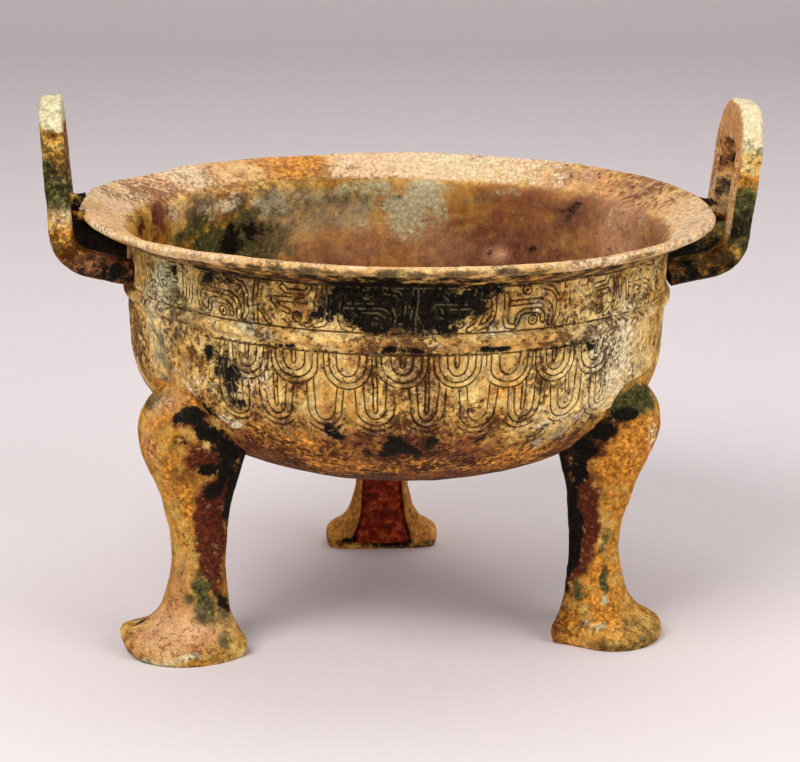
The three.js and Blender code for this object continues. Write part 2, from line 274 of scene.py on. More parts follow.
class Patina:
    """Builds one material: a ground colour, then crusts laid over it one by one."""

    def __init__(self, name):
        self.material = bpy.data.materials.new(name)
        self.material.use_nodes = True
        self.tree = self.material.node_tree
        self.tree.nodes.clear()
        self.place = add(self.tree, "ShaderNodeTexCoord").outputs["Object"]
        self.colour = None
        self.stir = 1.0

    def layer(self, name):
        """A number stored on the mesh."""
        return add(self.tree, "ShaderNodeAttribute", attribute_name=name).outputs["Fac"]

    def noise(self, size, detail=4.0, roughness=0.6, stretch=(1, 1, 1)):
        """Noise from 0 to 1 whose largest features are about `size` millimetres wide."""
        mapped = add(self.tree, "ShaderNodeMapping", {"Vector": self.place, "Scale": stretch})
        return add(self.tree, "ShaderNodeTexNoise", {
            "Vector": mapped.outputs[0], "Scale": 1 / (size * MM), "Detail": detail,
            "Roughness": roughness,
        }).outputs[0]

    def math(self, operation, first, second=0.0, third=0.0):
        """One sum on numbers, each plain or a socket."""
        return add(self.tree, "ShaderNodeMath", {0: first, 1: second, 2: third},
                   operation=operation).outputs[0]

    def line(self, value, slope, start):
        """A number times a slope, plus a start."""
        return self.math("MULTIPLY_ADD", value, slope, start)

    def times(self, product, *others):
        """All the numbers multiplied together."""
        for other in others:
            product = self.math("MULTIPLY", product, other)
        return product

    def step(self, value, low, high):
        """0 at low and beyond, 1 at high and beyond, with an S-shaped change between."""
        return add(self.tree, "ShaderNodeMapRange", {
            "Value": value, "From Min": low, "From Max": high,
        }, interpolation_type="SMOOTHSTEP").outputs[0]

    def ramp(self, value, stops):
        """A colour for a number, blended between (number, hex) stops."""
        node = add(self.tree, "ShaderNodeValToRGB", {"Fac": value})
        elements = node.color_ramp.elements
        while len(elements) < len(stops):
            elements.new(0.5)
        for element, (at, colour) in zip(elements, stops):
            element.position = at
            element.color = linear(colour)
        return node.outputs[0]

    def mix(self, share, first, second):
        """The second colour over the first by a share. Each is a hex or a socket."""
        first = linear(first) if isinstance(first, str) else first
        second = linear(second) if isinstance(second, str) else second
        return add(self.tree, "ShaderNodeMix", {"Factor": share, 6: first, 7: second},
                   data_type="RGBA").outputs[2]

    def crust(self, layer, colours, sharp=0.3):
        """Lays a crust over the ground where the layer's number is high. Coarse and fine
        noise eat into its edge, and its own colour runs between two colours."""
        reach = self.math("MINIMUM", self.times(layer, 8.0), CRUST_REACH)
        amount = self.line(self.stirred(self.grime), reach, layer)
        share = self.step(amount, 0.5 - sharp, 0.5 + sharp)
        shade = self.math("ADD", self.stirred(self.fine), 0.5)
        own = self.ramp(shade, [(0.36, colours[0]), (0.64, colours[1])])
        self.colour = self.mix(share, self.colour, own)
        return share

    def stirred(self, noise):
        """A noise about 0 instead of 0.5, weaker where the face is calm."""
        return self.times(self.math("SUBTRACT", noise, 0.5), self.stir)

    def mottle(self, noise, weight, low, high):
        """Lightens and darkens the colour by a noise, within limits."""
        factor = self.line(self.stirred(noise), weight, 1.0)
        factor = self.math("MINIMUM", self.math("MAXIMUM", factor, low), high)
        self.colour = add(self.tree, "ShaderNodeVectorMath",
                          {"Vector": self.colour, "Scale": factor}, operation="SCALE").outputs[0]

    def finish(self, roughness, bumps):
        """Ends the material. Bumps are (height socket, millimetres high) pairs, each laid
        over the one before."""
        links = {}
        for height, rise in bumps:
            links.update({"Height": height, "Distance": rise * MM, "Strength": 1.0})
            links["Normal"] = add(self.tree, "ShaderNodeBump", links).outputs[0]
        shader = add(self.tree, "ShaderNodeBsdfPrincipled", {
            "Base Color": self.colour, "Roughness": roughness,
            "Specular IOR Level": DULL, "Normal": links["Normal"],
        })
        add(self.tree, "ShaderNodeOutputMaterial", {"Surface": shader.outputs[0]})
        return self.material


# Buried bronze is a metal under mineral crusts: pale tin and lead earths, green and black
# copper minerals, red copper oxide and brown iron stains. It looks dull and stony, and
# only the smooth dark patina still has a sheen.
CREAM, SAND, TAN, RUST, UMBER = "#dfc17d", "#c69c4c", "#9f6f29", "#7a3c0e", "#371504"
SOOT, OLIVE = "#060403", "#19150c"


def old_bronze(name, grooved=False):
    """Bowl, legs, handles, struts and spacers. `tint` runs from cream through tan to umber;
    `dark`, `green`, `mint`, `red`, `rust` and `pale` say how much of each crust lies there,
    `rose` how pink the earth is, `specks` how thick the specks and `calm` how smooth and
    even the face is. In some places `tint`, `dark`, `green`, `rose` and `specks` also carry
    painted shade or painted light, as said where they are set. Grooves run where the numbers
    `line_a` or `line_b`, in millimetres, change sign, and fade where `wear` is high. A painted
    highlight runs along both edges of a groove."""
    p = Patina(name)
    p.stir = p.line(p.layer("calm"), -0.65, 1.0)
    broad = p.noise(26, 3)
    p.middle = p.noise(8, 5, 0.62, (1, 0.7, 1))
    p.fine = p.noise(2.2, 4, 0.65, (1, 0.7, 1))
    p.grime = p.math("ADD", p.times(p.middle, 0.6), p.times(p.fine, 0.4))
    other = p.noise(5, 5, 0.6, (1.3, 1.1, 0.9))
    tint = p.layer("tint")
    for noise, weight in ((p.middle, 1.6), (broad, 1.1), (p.fine, 0.8)):
        tint = p.line(p.stirred(noise), weight, tint)
    p.colour = p.ramp(tint, [
        (0.0, CREAM), (0.25, SAND), (0.5, TAN), (0.75, RUST), (1.0, UMBER),
    ])
    p.crust(p.layer("rust"), ("#91490c", "#dd9a35"))
    p.mottle(other, 3.0, 0.4, 1.4)
    p.crust(p.layer("red"), ("#220503", "#66200a"))
    p.crust(p.layer("mint"), ("#788060", "#c4c098"))
    p.crust(p.layer("green"), ("#191b0b", "#605c30"))
    p.crust(p.layer("pale"), ("#cfb98a", "#e8dab4"))
    rose = p.line(p.stirred(other), 1.5, 1.0)
    p.colour = p.mix(p.times(p.layer("rose"), rose), p.colour, "#d9a47c")
    dark = p.crust(p.layer("dark"), (SOOT, OLIVE), sharp=0.22)
    # Dark specks of half a millimetre to two, thick in some places and rare in others,
    # redder where the earth is pink, and pale flecks between them
    grit = p.noise(2.6, 3, 0.7, (0.9, 0.8, 1))
    specks = grit
    for number, weight in ((p.noise(13, 3), 0.6), (p.layer("specks"), 0.25)):
        specks = p.line(p.math("SUBTRACT", number, 0.5), weight, specks)
    speck = p.step(specks, 0.60, 0.67)
    grime = p.mix(p.layer("rose"), "#2c170c", "#94503a")
    p.colour = p.mix(p.times(speck, p.stir, p.line(dark, -0.7, 0.8)), p.colour, grime)
    fleck = p.times(p.step(grit, 0.38, 0.32), p.line(dark, -0.32, 0.36), p.stir)
    p.colour = p.mix(fleck, p.colour, "#d9c48e")
    p.mottle(p.fine, 2.2, 0.45, 1.45)
    p.mottle(p.noise(0.9, 2), 1.5, 0.65, 1.3)
    if grooved:
        # Dark earth fills a groove, and a painted highlight runs along both its edges, standing in
        # for light caught by the raised edges. Both are gone where the face is worn
        away = p.math("MINIMUM", p.math("ABSOLUTE", p.layer("line_a")),
                      p.math("ABSOLUTE", p.layer("line_b")))
        worn = p.line(p.layer("wear"), 0.3, p.line(dark, 0.12, 0.34))
        left = p.step(p.math("SUBTRACT", other, worn), 0.0, 0.12)
        # `edge` is the painted highlight: a pale strip about 1.5 mm to each side of a groove's
        # middle
        beside = p.math("ABSOLUTE", p.math("SUBTRACT", away, 1.5))
        edge = p.times(p.step(beside, 0.9, 0.1), p.step(p.fine, 0.4, 0.6),
                       p.line(dark, -0.3, 0.34), left)
        p.colour = p.mix(edge, p.colour, "#e0c88f")
        groove = p.times(p.step(away, 0.7, 0.2), left, 0.9)
        p.colour = p.mix(groove, p.colour, p.mix(dark, "#221308", "#6a5f40"))
    return p.finish(p.line(dark, -0.3, 0.8), [
        (broad, 0.9), (p.middle, 1.2), (p.fine, 0.5), (p.times(speck, -1.0), 0.25),
    ])


def baked_clay():
    """Casting core left in a leg, stained by copper: dark red, dense, with a low shine."""
    p = Patina("baked_clay_core")
    p.middle = p.noise(5, 5)
    p.fine = p.noise(1.2, 3)
    p.colour = p.ramp(p.middle, [(0.3, "#3a0d08"), (0.5, "#7c240f"), (0.68, "#b8552b")])
    p.mottle(p.fine, 2.0, 0.4, 1.5)
    shine = p.ramp(p.noise(3), [(0.35, "#383838"), (0.65, "#8a8a8a")])
    return p.finish(shine, [(p.middle, 0.8), (p.fine, 0.3)])


# The bowl

def belly(offset, steps=500):
    """Superellipse from the base's centre up to the belly's widest ring, pushed out by an
    offset: radius = R sin^(2/n), height = top - depth cos^(2/n)."""
    angle = np.linspace(0, math.pi / 2, steps)
    power = 2 / BELLY_SQUARENESS
    radius = (BELLY_RADIUS + offset) * np.sin(angle) ** power
    depth = BELLY_HEIGHT - BASE_HEIGHT + offset
    height = BELLY_HEIGHT - depth * np.clip(np.cos(angle), 0, 1) ** power
    return np.stack([radius, height], 1)


def bowl_profile():
    """Closed section (radius, height): belly, shoulder, bowstring ridge, band, neck, flare,
    lip, and back down the inside. It is resampled every quarter millimetre and its corners
    are rounded by a short running mean."""
    side = np.linspace(-1, 1, 21)
    ridge = np.stack([SHOULDER_RADIUS + RIDGE_RISE * np.sqrt(1 - side**2),
                      RIDGE_HEIGHT + RIDGE_HALF_WIDTH * side], 1)
    lip = RIM_HEIGHT
    flare = [(145.2, 186), (145.6, 208.6), (146.6, 210), (150, 211.3), (158, 214.8),
             (165, 218.4), (168.6, lip - 4.6), (MOUTH_RADIUS, lip - 3.2), (MOUTH_RADIUS, lip - 1.4),
             (168.6, lip), (163, lip - 1.6), (155, lip - 5.6), (148, lip - 9.8),
             (145.1, lip - 11.5), (142.6, lip - 13.6), (141.6, lip - 16.5)]
    inside = [(SHOULDER_RADIUS - WALL, RIDGE_HEIGHT)]
    path = np.concatenate([belly(0), [(SHOULDER_RADIUS, 173.6)], ridge, flare, inside,
                           belly(-WALL)[::-1]])
    along = lengths_along(path)
    even = np.linspace(0, along[-1], int(along[-1] * 4))
    path = at_places(path, along, even)
    reach = 3
    padded = np.pad(path, ((reach, reach), (0, 0)), mode="edge")
    path = np.mean([padded[i:i + len(path)] for i in range(2 * reach + 1)], 0)
    path[[0, -1], 0] = 0
    return even, path


def scale_arch(x, v, half, bottom, drop, spread=0.0):
    """Signed distance, negative inside, from a U that hangs down: half an ellipse `half`
    wide and `drop` deep, with sides that run up from its ends and spread apart."""
    centre = bottom + drop
    above = v > centre
    width = half + spread * np.maximum(v - centre, 0)
    ellipse = np.hypot(x / half, (v - centre) / drop) + 1e-6
    form = np.where(above, np.abs(x) / width, ellipse)
    slope = np.where(above, 1 / width,
                     np.hypot(x / half**2, (v - centre) / drop**2) / ellipse + 1e-6)
    return (form - 1) / slope


def scale_place(azimuth, start):
    """For each point, the distance in mm across from its nearest scale's middle, and three
    random numbers from -1 to 1 that belong to that scale."""
    number = np.round((azimuth - start) / SCALE_PITCH)
    across = np.radians(azimuth - start - SCALE_PITCH * number) * SHOULDER_RADIUS
    number = np.mod(number, SCALES)
    random = [np.sin(number * 12.9898 + shift) * 43758.5453 for shift in (1, 5, 9)]
    return across, [2 * (r - np.floor(r)) - 1 for r in random]


def nested(fields):
    """Distance to the nearest zero of several fields, with a sign that changes across every
    zero, so that a groove stays sharp between the points of the mesh."""
    return np.prod(np.sign(fields), axis=0) * np.min(np.abs(fields), axis=0)


def scale_row(x, height, random, bottom):
    """Three nested arches and a short stroke in the middle of the innermost one."""
    r1, r2, r3 = random
    x = x + 0.6 * r1 + 0.03 * r2 * (height - bottom)
    v = height - bottom - 0.8 * r2
    return [
        scale_arch(x, v, 12.4 + 0.4 * r3, 0, 11, 0.06),
        scale_arch(x, v, 9.7 + 0.5 * r3, 2.9 + 0.3 * r1, 9.5, 0.07),
        scale_arch(x, v, 5.3 + 0.4 * r1, 6.6 + 0.5 * r3, 6.5, 0.08),
        np.where(r2 > -0.2, scale_arch(x - 0.5 * r3, v, 1.1, 10.2, 3), 9.0),
    ]


def scales(azimuth, height):
    """Signed distances in mm to the grooves of the upper and of the lower row of scales,
    and how worn the grooves are. The upper row laps over the lower one, whose scales sit
    half a pitch aside and have lost the sides of their outermost grooves."""
    x, random = scale_place(azimuth, SCALES_START)
    upper = scale_row(x, height, random, UPPER_BOTTOM)
    lower_start = SCALES_START - SCALE_PITCH / 2 - 3.2 * np.sin(np.radians(azimuth))
    x, random = scale_place(azimuth, lower_start)
    lower = scale_row(x, height, random, LOWER_BOTTOM)
    hidden = (upper[0] < 0) | (height > SCALES_TOP)
    side = (lower[0] > -1.3) * (upper[0] > 1)
    worn = smooth(height, LOWER_BOTTOM + 2, LOWER_BOTTOM + 6) * side
    return nested(upper), np.where(hidden, 9.0, nested(lower)), worn


# Ribbons of one unit of the divided dragon band, in mm: across from the unit's first
# upright, and up from the band's bottom. Each ribbon is bounded by a groove on both sides.
RIBBONS = [
    [(2.2, 25), (2.2, 8), (0.5, 4.4), (-5, 2.8)],
    [(9.2, 19), (8.8, 7), (10.5, 3), (14, 2)],
    [(11.5, 14.2), (29, 14.2), (33.5, 12), (35.5, 8), (34.6, 2.6)],
    [(30, 21.5), (36.5, 20), (39.6, 15), (39.6, 6), (37.5, 2.4)],
    [(15.6, 4), (16.6, 8), (19, 9.4), (27, 9.4), (30, 7.6), (30.5, 4)],
    [(45.4, 25), (45.4, 1.5)],
    [(56, 14), (59, 9.8), (64, 8)],
    [(56, 14), (73.5, 14.2)],
    [(60, 20.5), (62.5, 18.4), (73, 18.6), (75, 22)],
    [(48.5, 9.5), (53, 1.5)],
    [(80.4, 25), (80, 9), (78, 4.6), (73.5, 2.2)],
]
EYES = [(25, 4.6), (68.8, 5.8), (21, 20.2)]
RIBBON_HALF = 1.25
EYE_RADIUS = 2.5


def dragons(azimuth, height):
    """Signed distances in mm to the grooves of the ribbons, and to those of the band's edges
    and the eyes. A ribbon's groove runs where the least distance to the bent centre lines
    is half a ribbon's width. Eyes are rings with a pit in the middle."""
    period = 360 / UNITS
    number = np.floor((azimuth - BAND_START) / period)
    across = np.radians(azimuth - BAND_START - period * number) * NECK_RADIUS
    width = math.radians(period) * NECK_RADIUS
    up = height - BAND_BOTTOM
    up = up + 0.5 * np.sin(across / 9 + 2.1 * number)
    across = across + 0.6 * np.sin(up / 4 + 1.3 * number)
    ribbon = np.full(len(azimuth), 99.0)
    for path in RIBBONS:
        for (x0, v0), (x1, v1) in zip(path, path[1:]):
            length = (x1 - x0) ** 2 + (v1 - v0) ** 2
            for turn in (0, width):
                x = across - turn
                share = np.clip(((x - x0) * (x1 - x0) + (up - v0) * (v1 - v0)) / length, 0, 1)
                away = np.hypot(x - x0 - share * (x1 - x0), up - v0 - share * (v1 - v0))
                ribbon = np.minimum(ribbon, away)
    within = np.minimum(height - BAND_BOTTOM, BAND_TOP - 0.8 - height)
    eyes = [np.hypot(across - x0, up - v0) for x0, v0 in EYES]
    rings = [eye - EYE_RADIUS for eye in eyes] + [eye - 0.6 for eye in eyes]
    hidden = (np.min(eyes, axis=0) < EYE_RADIUS) | (within < 0)
    return np.where(hidden, 9.0, ribbon - RIBBON_HALF), nested(rings + [within])


# Radii at which spots are placed: wall, inside, rim and lip
WALL_FACE, INNER_FACE, RIM_FACE, LIP_FACE = 145, 141, 159, 169.5


def wall_spots(rows, radius=WALL_FACE):
    """Spots given by azimuth and height on the wall, with their reaches and strength."""
    return [(*on_wall(azimuth, height, radius), across, up, strength)
            for azimuth, height, across, up, strength in rows]


def wall_layers(points, radius):
    """Crusts on the bowl's outer face, set by where the photo shows them. Round the back
    they are made up."""
    z = points[:, 2]
    spread = rough(points, 30, 71, 3)
    at = lambda rows, seed=3: stains(points, wall_spots(rows), seed=seed)
    tint = 0.25 + 0.42 * fall(z, 112, 150) + 0.1 * spread + 0.2 * fall(z, 86, 104)
    tint = tint + 0.22 * at([(-8, 150, 60, 30, 0.7), (0, 110, 110, 34, 1)])
    tint = tint - 0.36 * at([(48, 158, 34, 34, 1), (40, 132, 40, 12, 0.8), (26, 196, 14, 12, 0.5)])
    tint = tint - 0.25 * at([(-54, 196, 20, 22, 1)])
    # Under the lip's flare, from 209 to 219 mm high, the tint is darker and dark and green crusts
    # are laid on: painted shadow of the overhanging lip over a real dark green crust
    flare = (z > 209) & (z < 219)
    tint = tint + 0.3 * flare
    lip = (z > 219) & (radius > 150)
    # The dark spots about 176 mm high, and the green ones there, lie in the crevice under the
    # ridge: partly painted shadow under the ridge, partly dark green crust
    dark = at([
        (-15, 194, 10, 6, 1.0), (-9.5, 201, 18, 12, 1.4), (-2, 201, 24, 12, 1.6),
        (7, 199, 19, 12, 1.5), (14.5, 202, 12, 9, 1.3), (17, 208, 10, 5, 1.0),
        (-37, 157, 11, 11, 0.95), (-34, 147, 8, 9, 0.9), (-42, 167, 11, 8, 0.6),
        (-45, 128, 9, 9, 0.9), (-0.5, 176, 15, 2.8, 1.1), (19, 176, 11, 2.6, 1.0),
        (42, 176, 9, 4, 0.6), (-24, 176.2, 10, 2.2, 0.7), (-12, 131, 5, 4.5, 1.05),
        (-1, 126, 8, 3.5, 1.05), (1, 123.5, 9, 3.5, 1.1), (4, 120.5, 9, 3, 1.0),
        (8.7, 127, 4, 4.5, 1.1), (9, 122, 6, 3.5, 1.0), (-4, 121.5, 8, 2.5, 0.8),
        (20.5, 129, 8, 4, 0.55), (48, 124, 12, 8, 0.5),
        (-50, 205, 12, 8, 0.6), (-38, 202, 12, 8, 0.6), (33.4, 205, 2.4, 2.4, 1.3),
        (120, 190, 30, 20, 0.8), (170, 150, 34, 26, 0.7), (-140, 165, 30, 24, 0.6),
        (-100, 120, 30, 20, 0.6), (100, 130, 24, 20, 0.6),
    ]) + 0.42 * flare
    green = at([
        (-43, 193, 12, 10, 0.6), (-50, 180, 16, 16, 0.6), (1, 176, 8, 3, 0.8),
        (42, 177, 11, 4, 1.0), (25, 190, 9, 6, 0.6), (19, 188, 7, 5, 0.55),
        (-30, 190, 8, 6, 0.5), (46, 132, 12, 8, 0.5), (34, 129, 18, 4, 0.5),
        (-58, 160, 12, 20, 0.45), (150, 200, 24, 16, 0.7),
        (-120, 195, 22, 14, 0.6), (80, 160, 18, 20, 0.5),
    ], 5) + 0.5 * flare
    mint = at([
        (-30, 182, 16, 5, 0.55), (-55, 197, 18, 16, 0.8), (-58, 160, 14, 18, 0.6),
        (38, 128, 26, 7, 0.5), (60, 150, 14, 20, 0.4), (-62, 178, 16, 24, 0.5),
    ])
    red = at([
        (48, 200, 16, 12, 0.5), (-52, 160, 6, 5, 0.5), (-10, 128, 8, 6, 0.5),
        (1, 124, 18, 8, 0.85), (9, 125, 9, 9, 0.8), (-12, 131, 8, 7, 0.75),
        (-6, 116, 26, 5, 0.5), (18, 117, 20, 4, 0.5),
    ]) + 0.6 * fall(z, 84, 96)
    rust = at([
        (-8, 112, 50, 12, 0.6), (-18, 192, 5, 4, 0.8), (-27, 189, 8, 3, 0.5),
        (15, 185, 6, 3, 0.5), (33, 200, 8, 7, 0.45), (24, 150, 20, 10, 0.4),
        (-25, 122, 24, 10, 0.65), (30, 112, 30, 12, 0.6), (-4, 150, 20, 8, 0.45),
    ]) + 0.5 * lip * stains(
        points, wall_spots([(9, 221, 30, 3, 1), (-14, 221, 20, 3, 1)], LIP_FACE), 2)
    pale = at([
        (52, 166, 26, 30, 0.72), (-30, 160, 14, 20, 0.35), (10, 181, 22, 3, 0.3),
        (-38, 129, 7, 4, 1.0), (38, 215, 30, 12, 0.3), (-48, 150, 12, 10, 0.4),
        (48, 136, 20, 12, 0.5), (-58, 186, 14, 20, 0.4), (30, 198, 10, 9, 0.35),
        (20, 186, 14, 4, 0.5), (-40, 190, 12, 12, 0.3), (34, 136, 20, 3, 0.5),
    ]) + lip * (0.22 + 0.3 * smooth(np.abs(points[:, 0]), 40, 110))
    on_lip = stains(points, wall_spots([
        (-16, 221.5, 9, 2.6, 0.9), (-10, 220.5, 16, 2, 0.7), (-1, 221.5, 10, 2.6, 1.0),
        (4, 221, 10, 2, 0.8), (11, 221.5, 14, 2.4, 0.8), (19, 221.5, 10, 2.2, 0.8),
        (24, 220.5, 6, 2, 0.9), (-29, 220, 5, 2, 1.0), (-24.5, 220, 5, 2.2, 1.1),
        (-20.5, 220.5, 6, 2.4, 1.1), (46, 221, 14, 2.2, 0.6), (-56, 221, 14, 2, 0.5),
        (100, 222, 30, 3, 0.6), (150, 222, 30, 3, 0.6), (-120, 222, 30, 3, 0.6),
    ], LIP_FACE), 1.5, 15) * lip
    green = np.maximum(green, on_lip)
    pale = pale * (1 - np.minimum(1, 1.3 * on_lip)) + 0.25 * lip * (z > 223.6)
    rose = 0.1 + 0.05 * (np.abs(z - 181) < 4) + 0.22 * lip * (1 - np.minimum(1, on_lip))
    return {"tint": tint, "dark": dark, "green": green, "mint": mint, "red": red,
            "rust": rust, "pale": pale, "rose": rose, "calm": 0.25 * lip}


def inside_layers(points, radius):
    """Crusts on the rim's upper face and inside the bowl."""
    z = points[:, 2]
    rim = smooth(radius, 143, 150) * (z > 212)
    spread = rough(points, 30, 72, 3)
    side = points[:, 0] / np.maximum(radius, 1)
    at = lambda rows, seed=8: stains(points, wall_spots(rows, INNER_FACE), seed=seed)
    on_rim = lambda rows: stains(points, wall_spots(rows, RIM_FACE), 4.0, 9)
    # The right side is redder, which evens out towards the bowl's floor
    east = 0.4 + (smooth(side + 0.1 * spread, 0.1, 0.4) - 0.4) * smooth(radius, 40, 125)
    right = east * fall(points[:, 1], 40, 160)
    wall = {
        "tint": 0.44 + 0.1 * spread + 0.25 * east + 0.12 * fall(radius, 105, 130)
                - 0.36 * at([(-121.5, 207, 15, 10, 1)]) + 0.3 * at([(-111, 207, 12, 12, 1)])
                + 0.14 * at([(-170, 171, 60, 14, 1), (165, 172, 60, 14, 1)]),
        "dark": at([
            (-111, 206, 6, 8, 0.3), (-127, 203, 9, 10, 0.45),
            (-138, 184, 16, 7, 0.8), (-144, 187, 12, 6, 0.6), (-143, 193, 8, 5, 0.7),
            (167, 196, 5, 4, 0.4), (150, 185, 6, 3, 0.6), (157, 178, 5, 4, 0.8),
            (136, 204, 10, 4, 0.6), (148, 180, 5, 3, 0.7), (180, 207, 16, 2, 0.5),
        ]),
        "green": at([
            (-135, 184, 26, 10, 1.1), (-144, 180, 26, 12, 1.2), (-142, 192, 13, 8, 1.2),
            (-123, 190, 14, 7, 0.9), (-128, 202, 13, 11, 1.05), (-146, 209, 18, 4, 0.6),
            (-138, 203, 9, 5, 0.8), (-150, 186, 14, 8, 0.7), (-165, 207, 20, 4, 0.7),
            (-160, 196, 36, 14, 0.55), (-115, 186, 14, 5, 0.7), (160, 205, 14, 5, 0.5),
        ], 6),
        "mint": at([
            (-148, 201, 12, 9, 1.1), (-150, 191, 6, 4, 0.6), (174, 202, 15, 13, 0.95),
            (178, 190, 15, 14, 0.75), (171, 194, 12, 8, 0.6), (-162, 205, 44, 8, 0.7),
            (-168, 196, 30, 14, 0.6), (-155, 190, 18, 12, 0.55), (-133, 203, 12, 5, 0.6),
            (178, 208, 40, 5, 0.6), (155, 209, 24, 3, 0.4),
        ]),
        "red": at([
            (-168, 172, 50, 14, 0.46), (162, 176, 50, 16, 0.52), (-163, 166, 34, 7, 0.6),
            (-98, 207, 8, 10, 0.75), (-110, 205, 11, 13, 0.8), (136, 202, 12, 6, 0.6),
            (172, 168, 20, 6, 0.5), (146, 176, 6, 4, 0.5),
        ]) + 0.2 * right + 0.26 * east,
        "rust": at([(-140, 210, 30, 4, 0.4), (128, 190, 24, 20, 0.3), (-120, 203, 7, 12, 0.4)]),
        "pale": at([
            (-119, 207, 9, 7, 0.5), (-131, 198, 5, 5, 0.75), (-128, 205, 4, 4, 0.6),
            (-137, 204, 9, 5, 0.85), (-134, 192, 3, 4, 0.5), (175, 199, 8, 12, 0.35),
            (122, 202, 5, 12, 0.6), (108, 208, 5, 8, 0.4),
        ]),
        "rose": at([
            (-170, 176, 50, 16, 0.26), (172, 178, 24, 14, 0.3), (155, 176, 9, 6, 0.9),
            (-160, 192, 40, 14, 0.25), (118, 196, 20, 24, 0.4), (175, 204, 20, 14, 0.2),
            (-128, 207, 44, 8, 0.25), (-150, 208, 40, 5, 0.25),
        ]) + 0.2 * right + 0.1 * east,
        "calm": 0.8 - 0.4 * fall(side, -0.6, -0.35) - 0.2 * smooth(side, 0.6, 0.9),
    }
    top = {
        "tint": 0.18 + 0.2 * spread + 0.16 * on_rim([(135, 220, 60, 30, 1)]),
        "dark": on_rim([(-100, 221, 8, 6, 0.3), (-137, 220, 12, 6, 0.35)]),
        "green": on_rim([(160, 217, 16, 6, 0.6), (-165, 216, 24, 4, 0.3)]),
        "mint": on_rim([(178, 217, 24, 6, 0.5), (-128, 224, 24, 8, 0.4),
                        (165, 224, 20, 6, 0.4)]),
        "red": on_rim([(-144, 223, 14, 20, 0.42), (-112, 224, 16, 20, 0.3),
                       (146, 223, 30, 8, 0.5), (121, 222, 24, 20, 0.52),
                       (100, 223, 14, 20, 0.4), (-86, 222, 14, 20, 0.3)]),
        "rust": on_rim([(-157, 221, 22, 20, 1.15), (-166, 224, 10, 8, 0.8),
                        (152, 222, 14, 8, 0.6), (125, 222, 26, 20, 0.5)]),
        "pale": 0.42 + on_rim([(176, 224, 60, 20, 0.6), (-98, 220, 24, 20, 0.3),
                               (80, 222, 44, 20, 0.35), (-130, 222, 16, 20, 0.4)])
                - on_rim([(-157, 222, 25, 20, 0.9), (124, 222, 44, 20, 0.36),
                          (-144, 222, 16, 20, 0.35)]),
        "rose": 0.5 + 0.2 * spread - on_rim([(-157, 222, 25, 20, 0.45), (135, 222, 44, 20, 0.1)]),
        "calm": 0.5 - on_rim([(-112, 222, 34, 20, 0.4), (132, 222, 60, 20, 0.4)]),
    }
    return {name: wall[name] + (top[name] - wall[name]) * rim for name in wall}


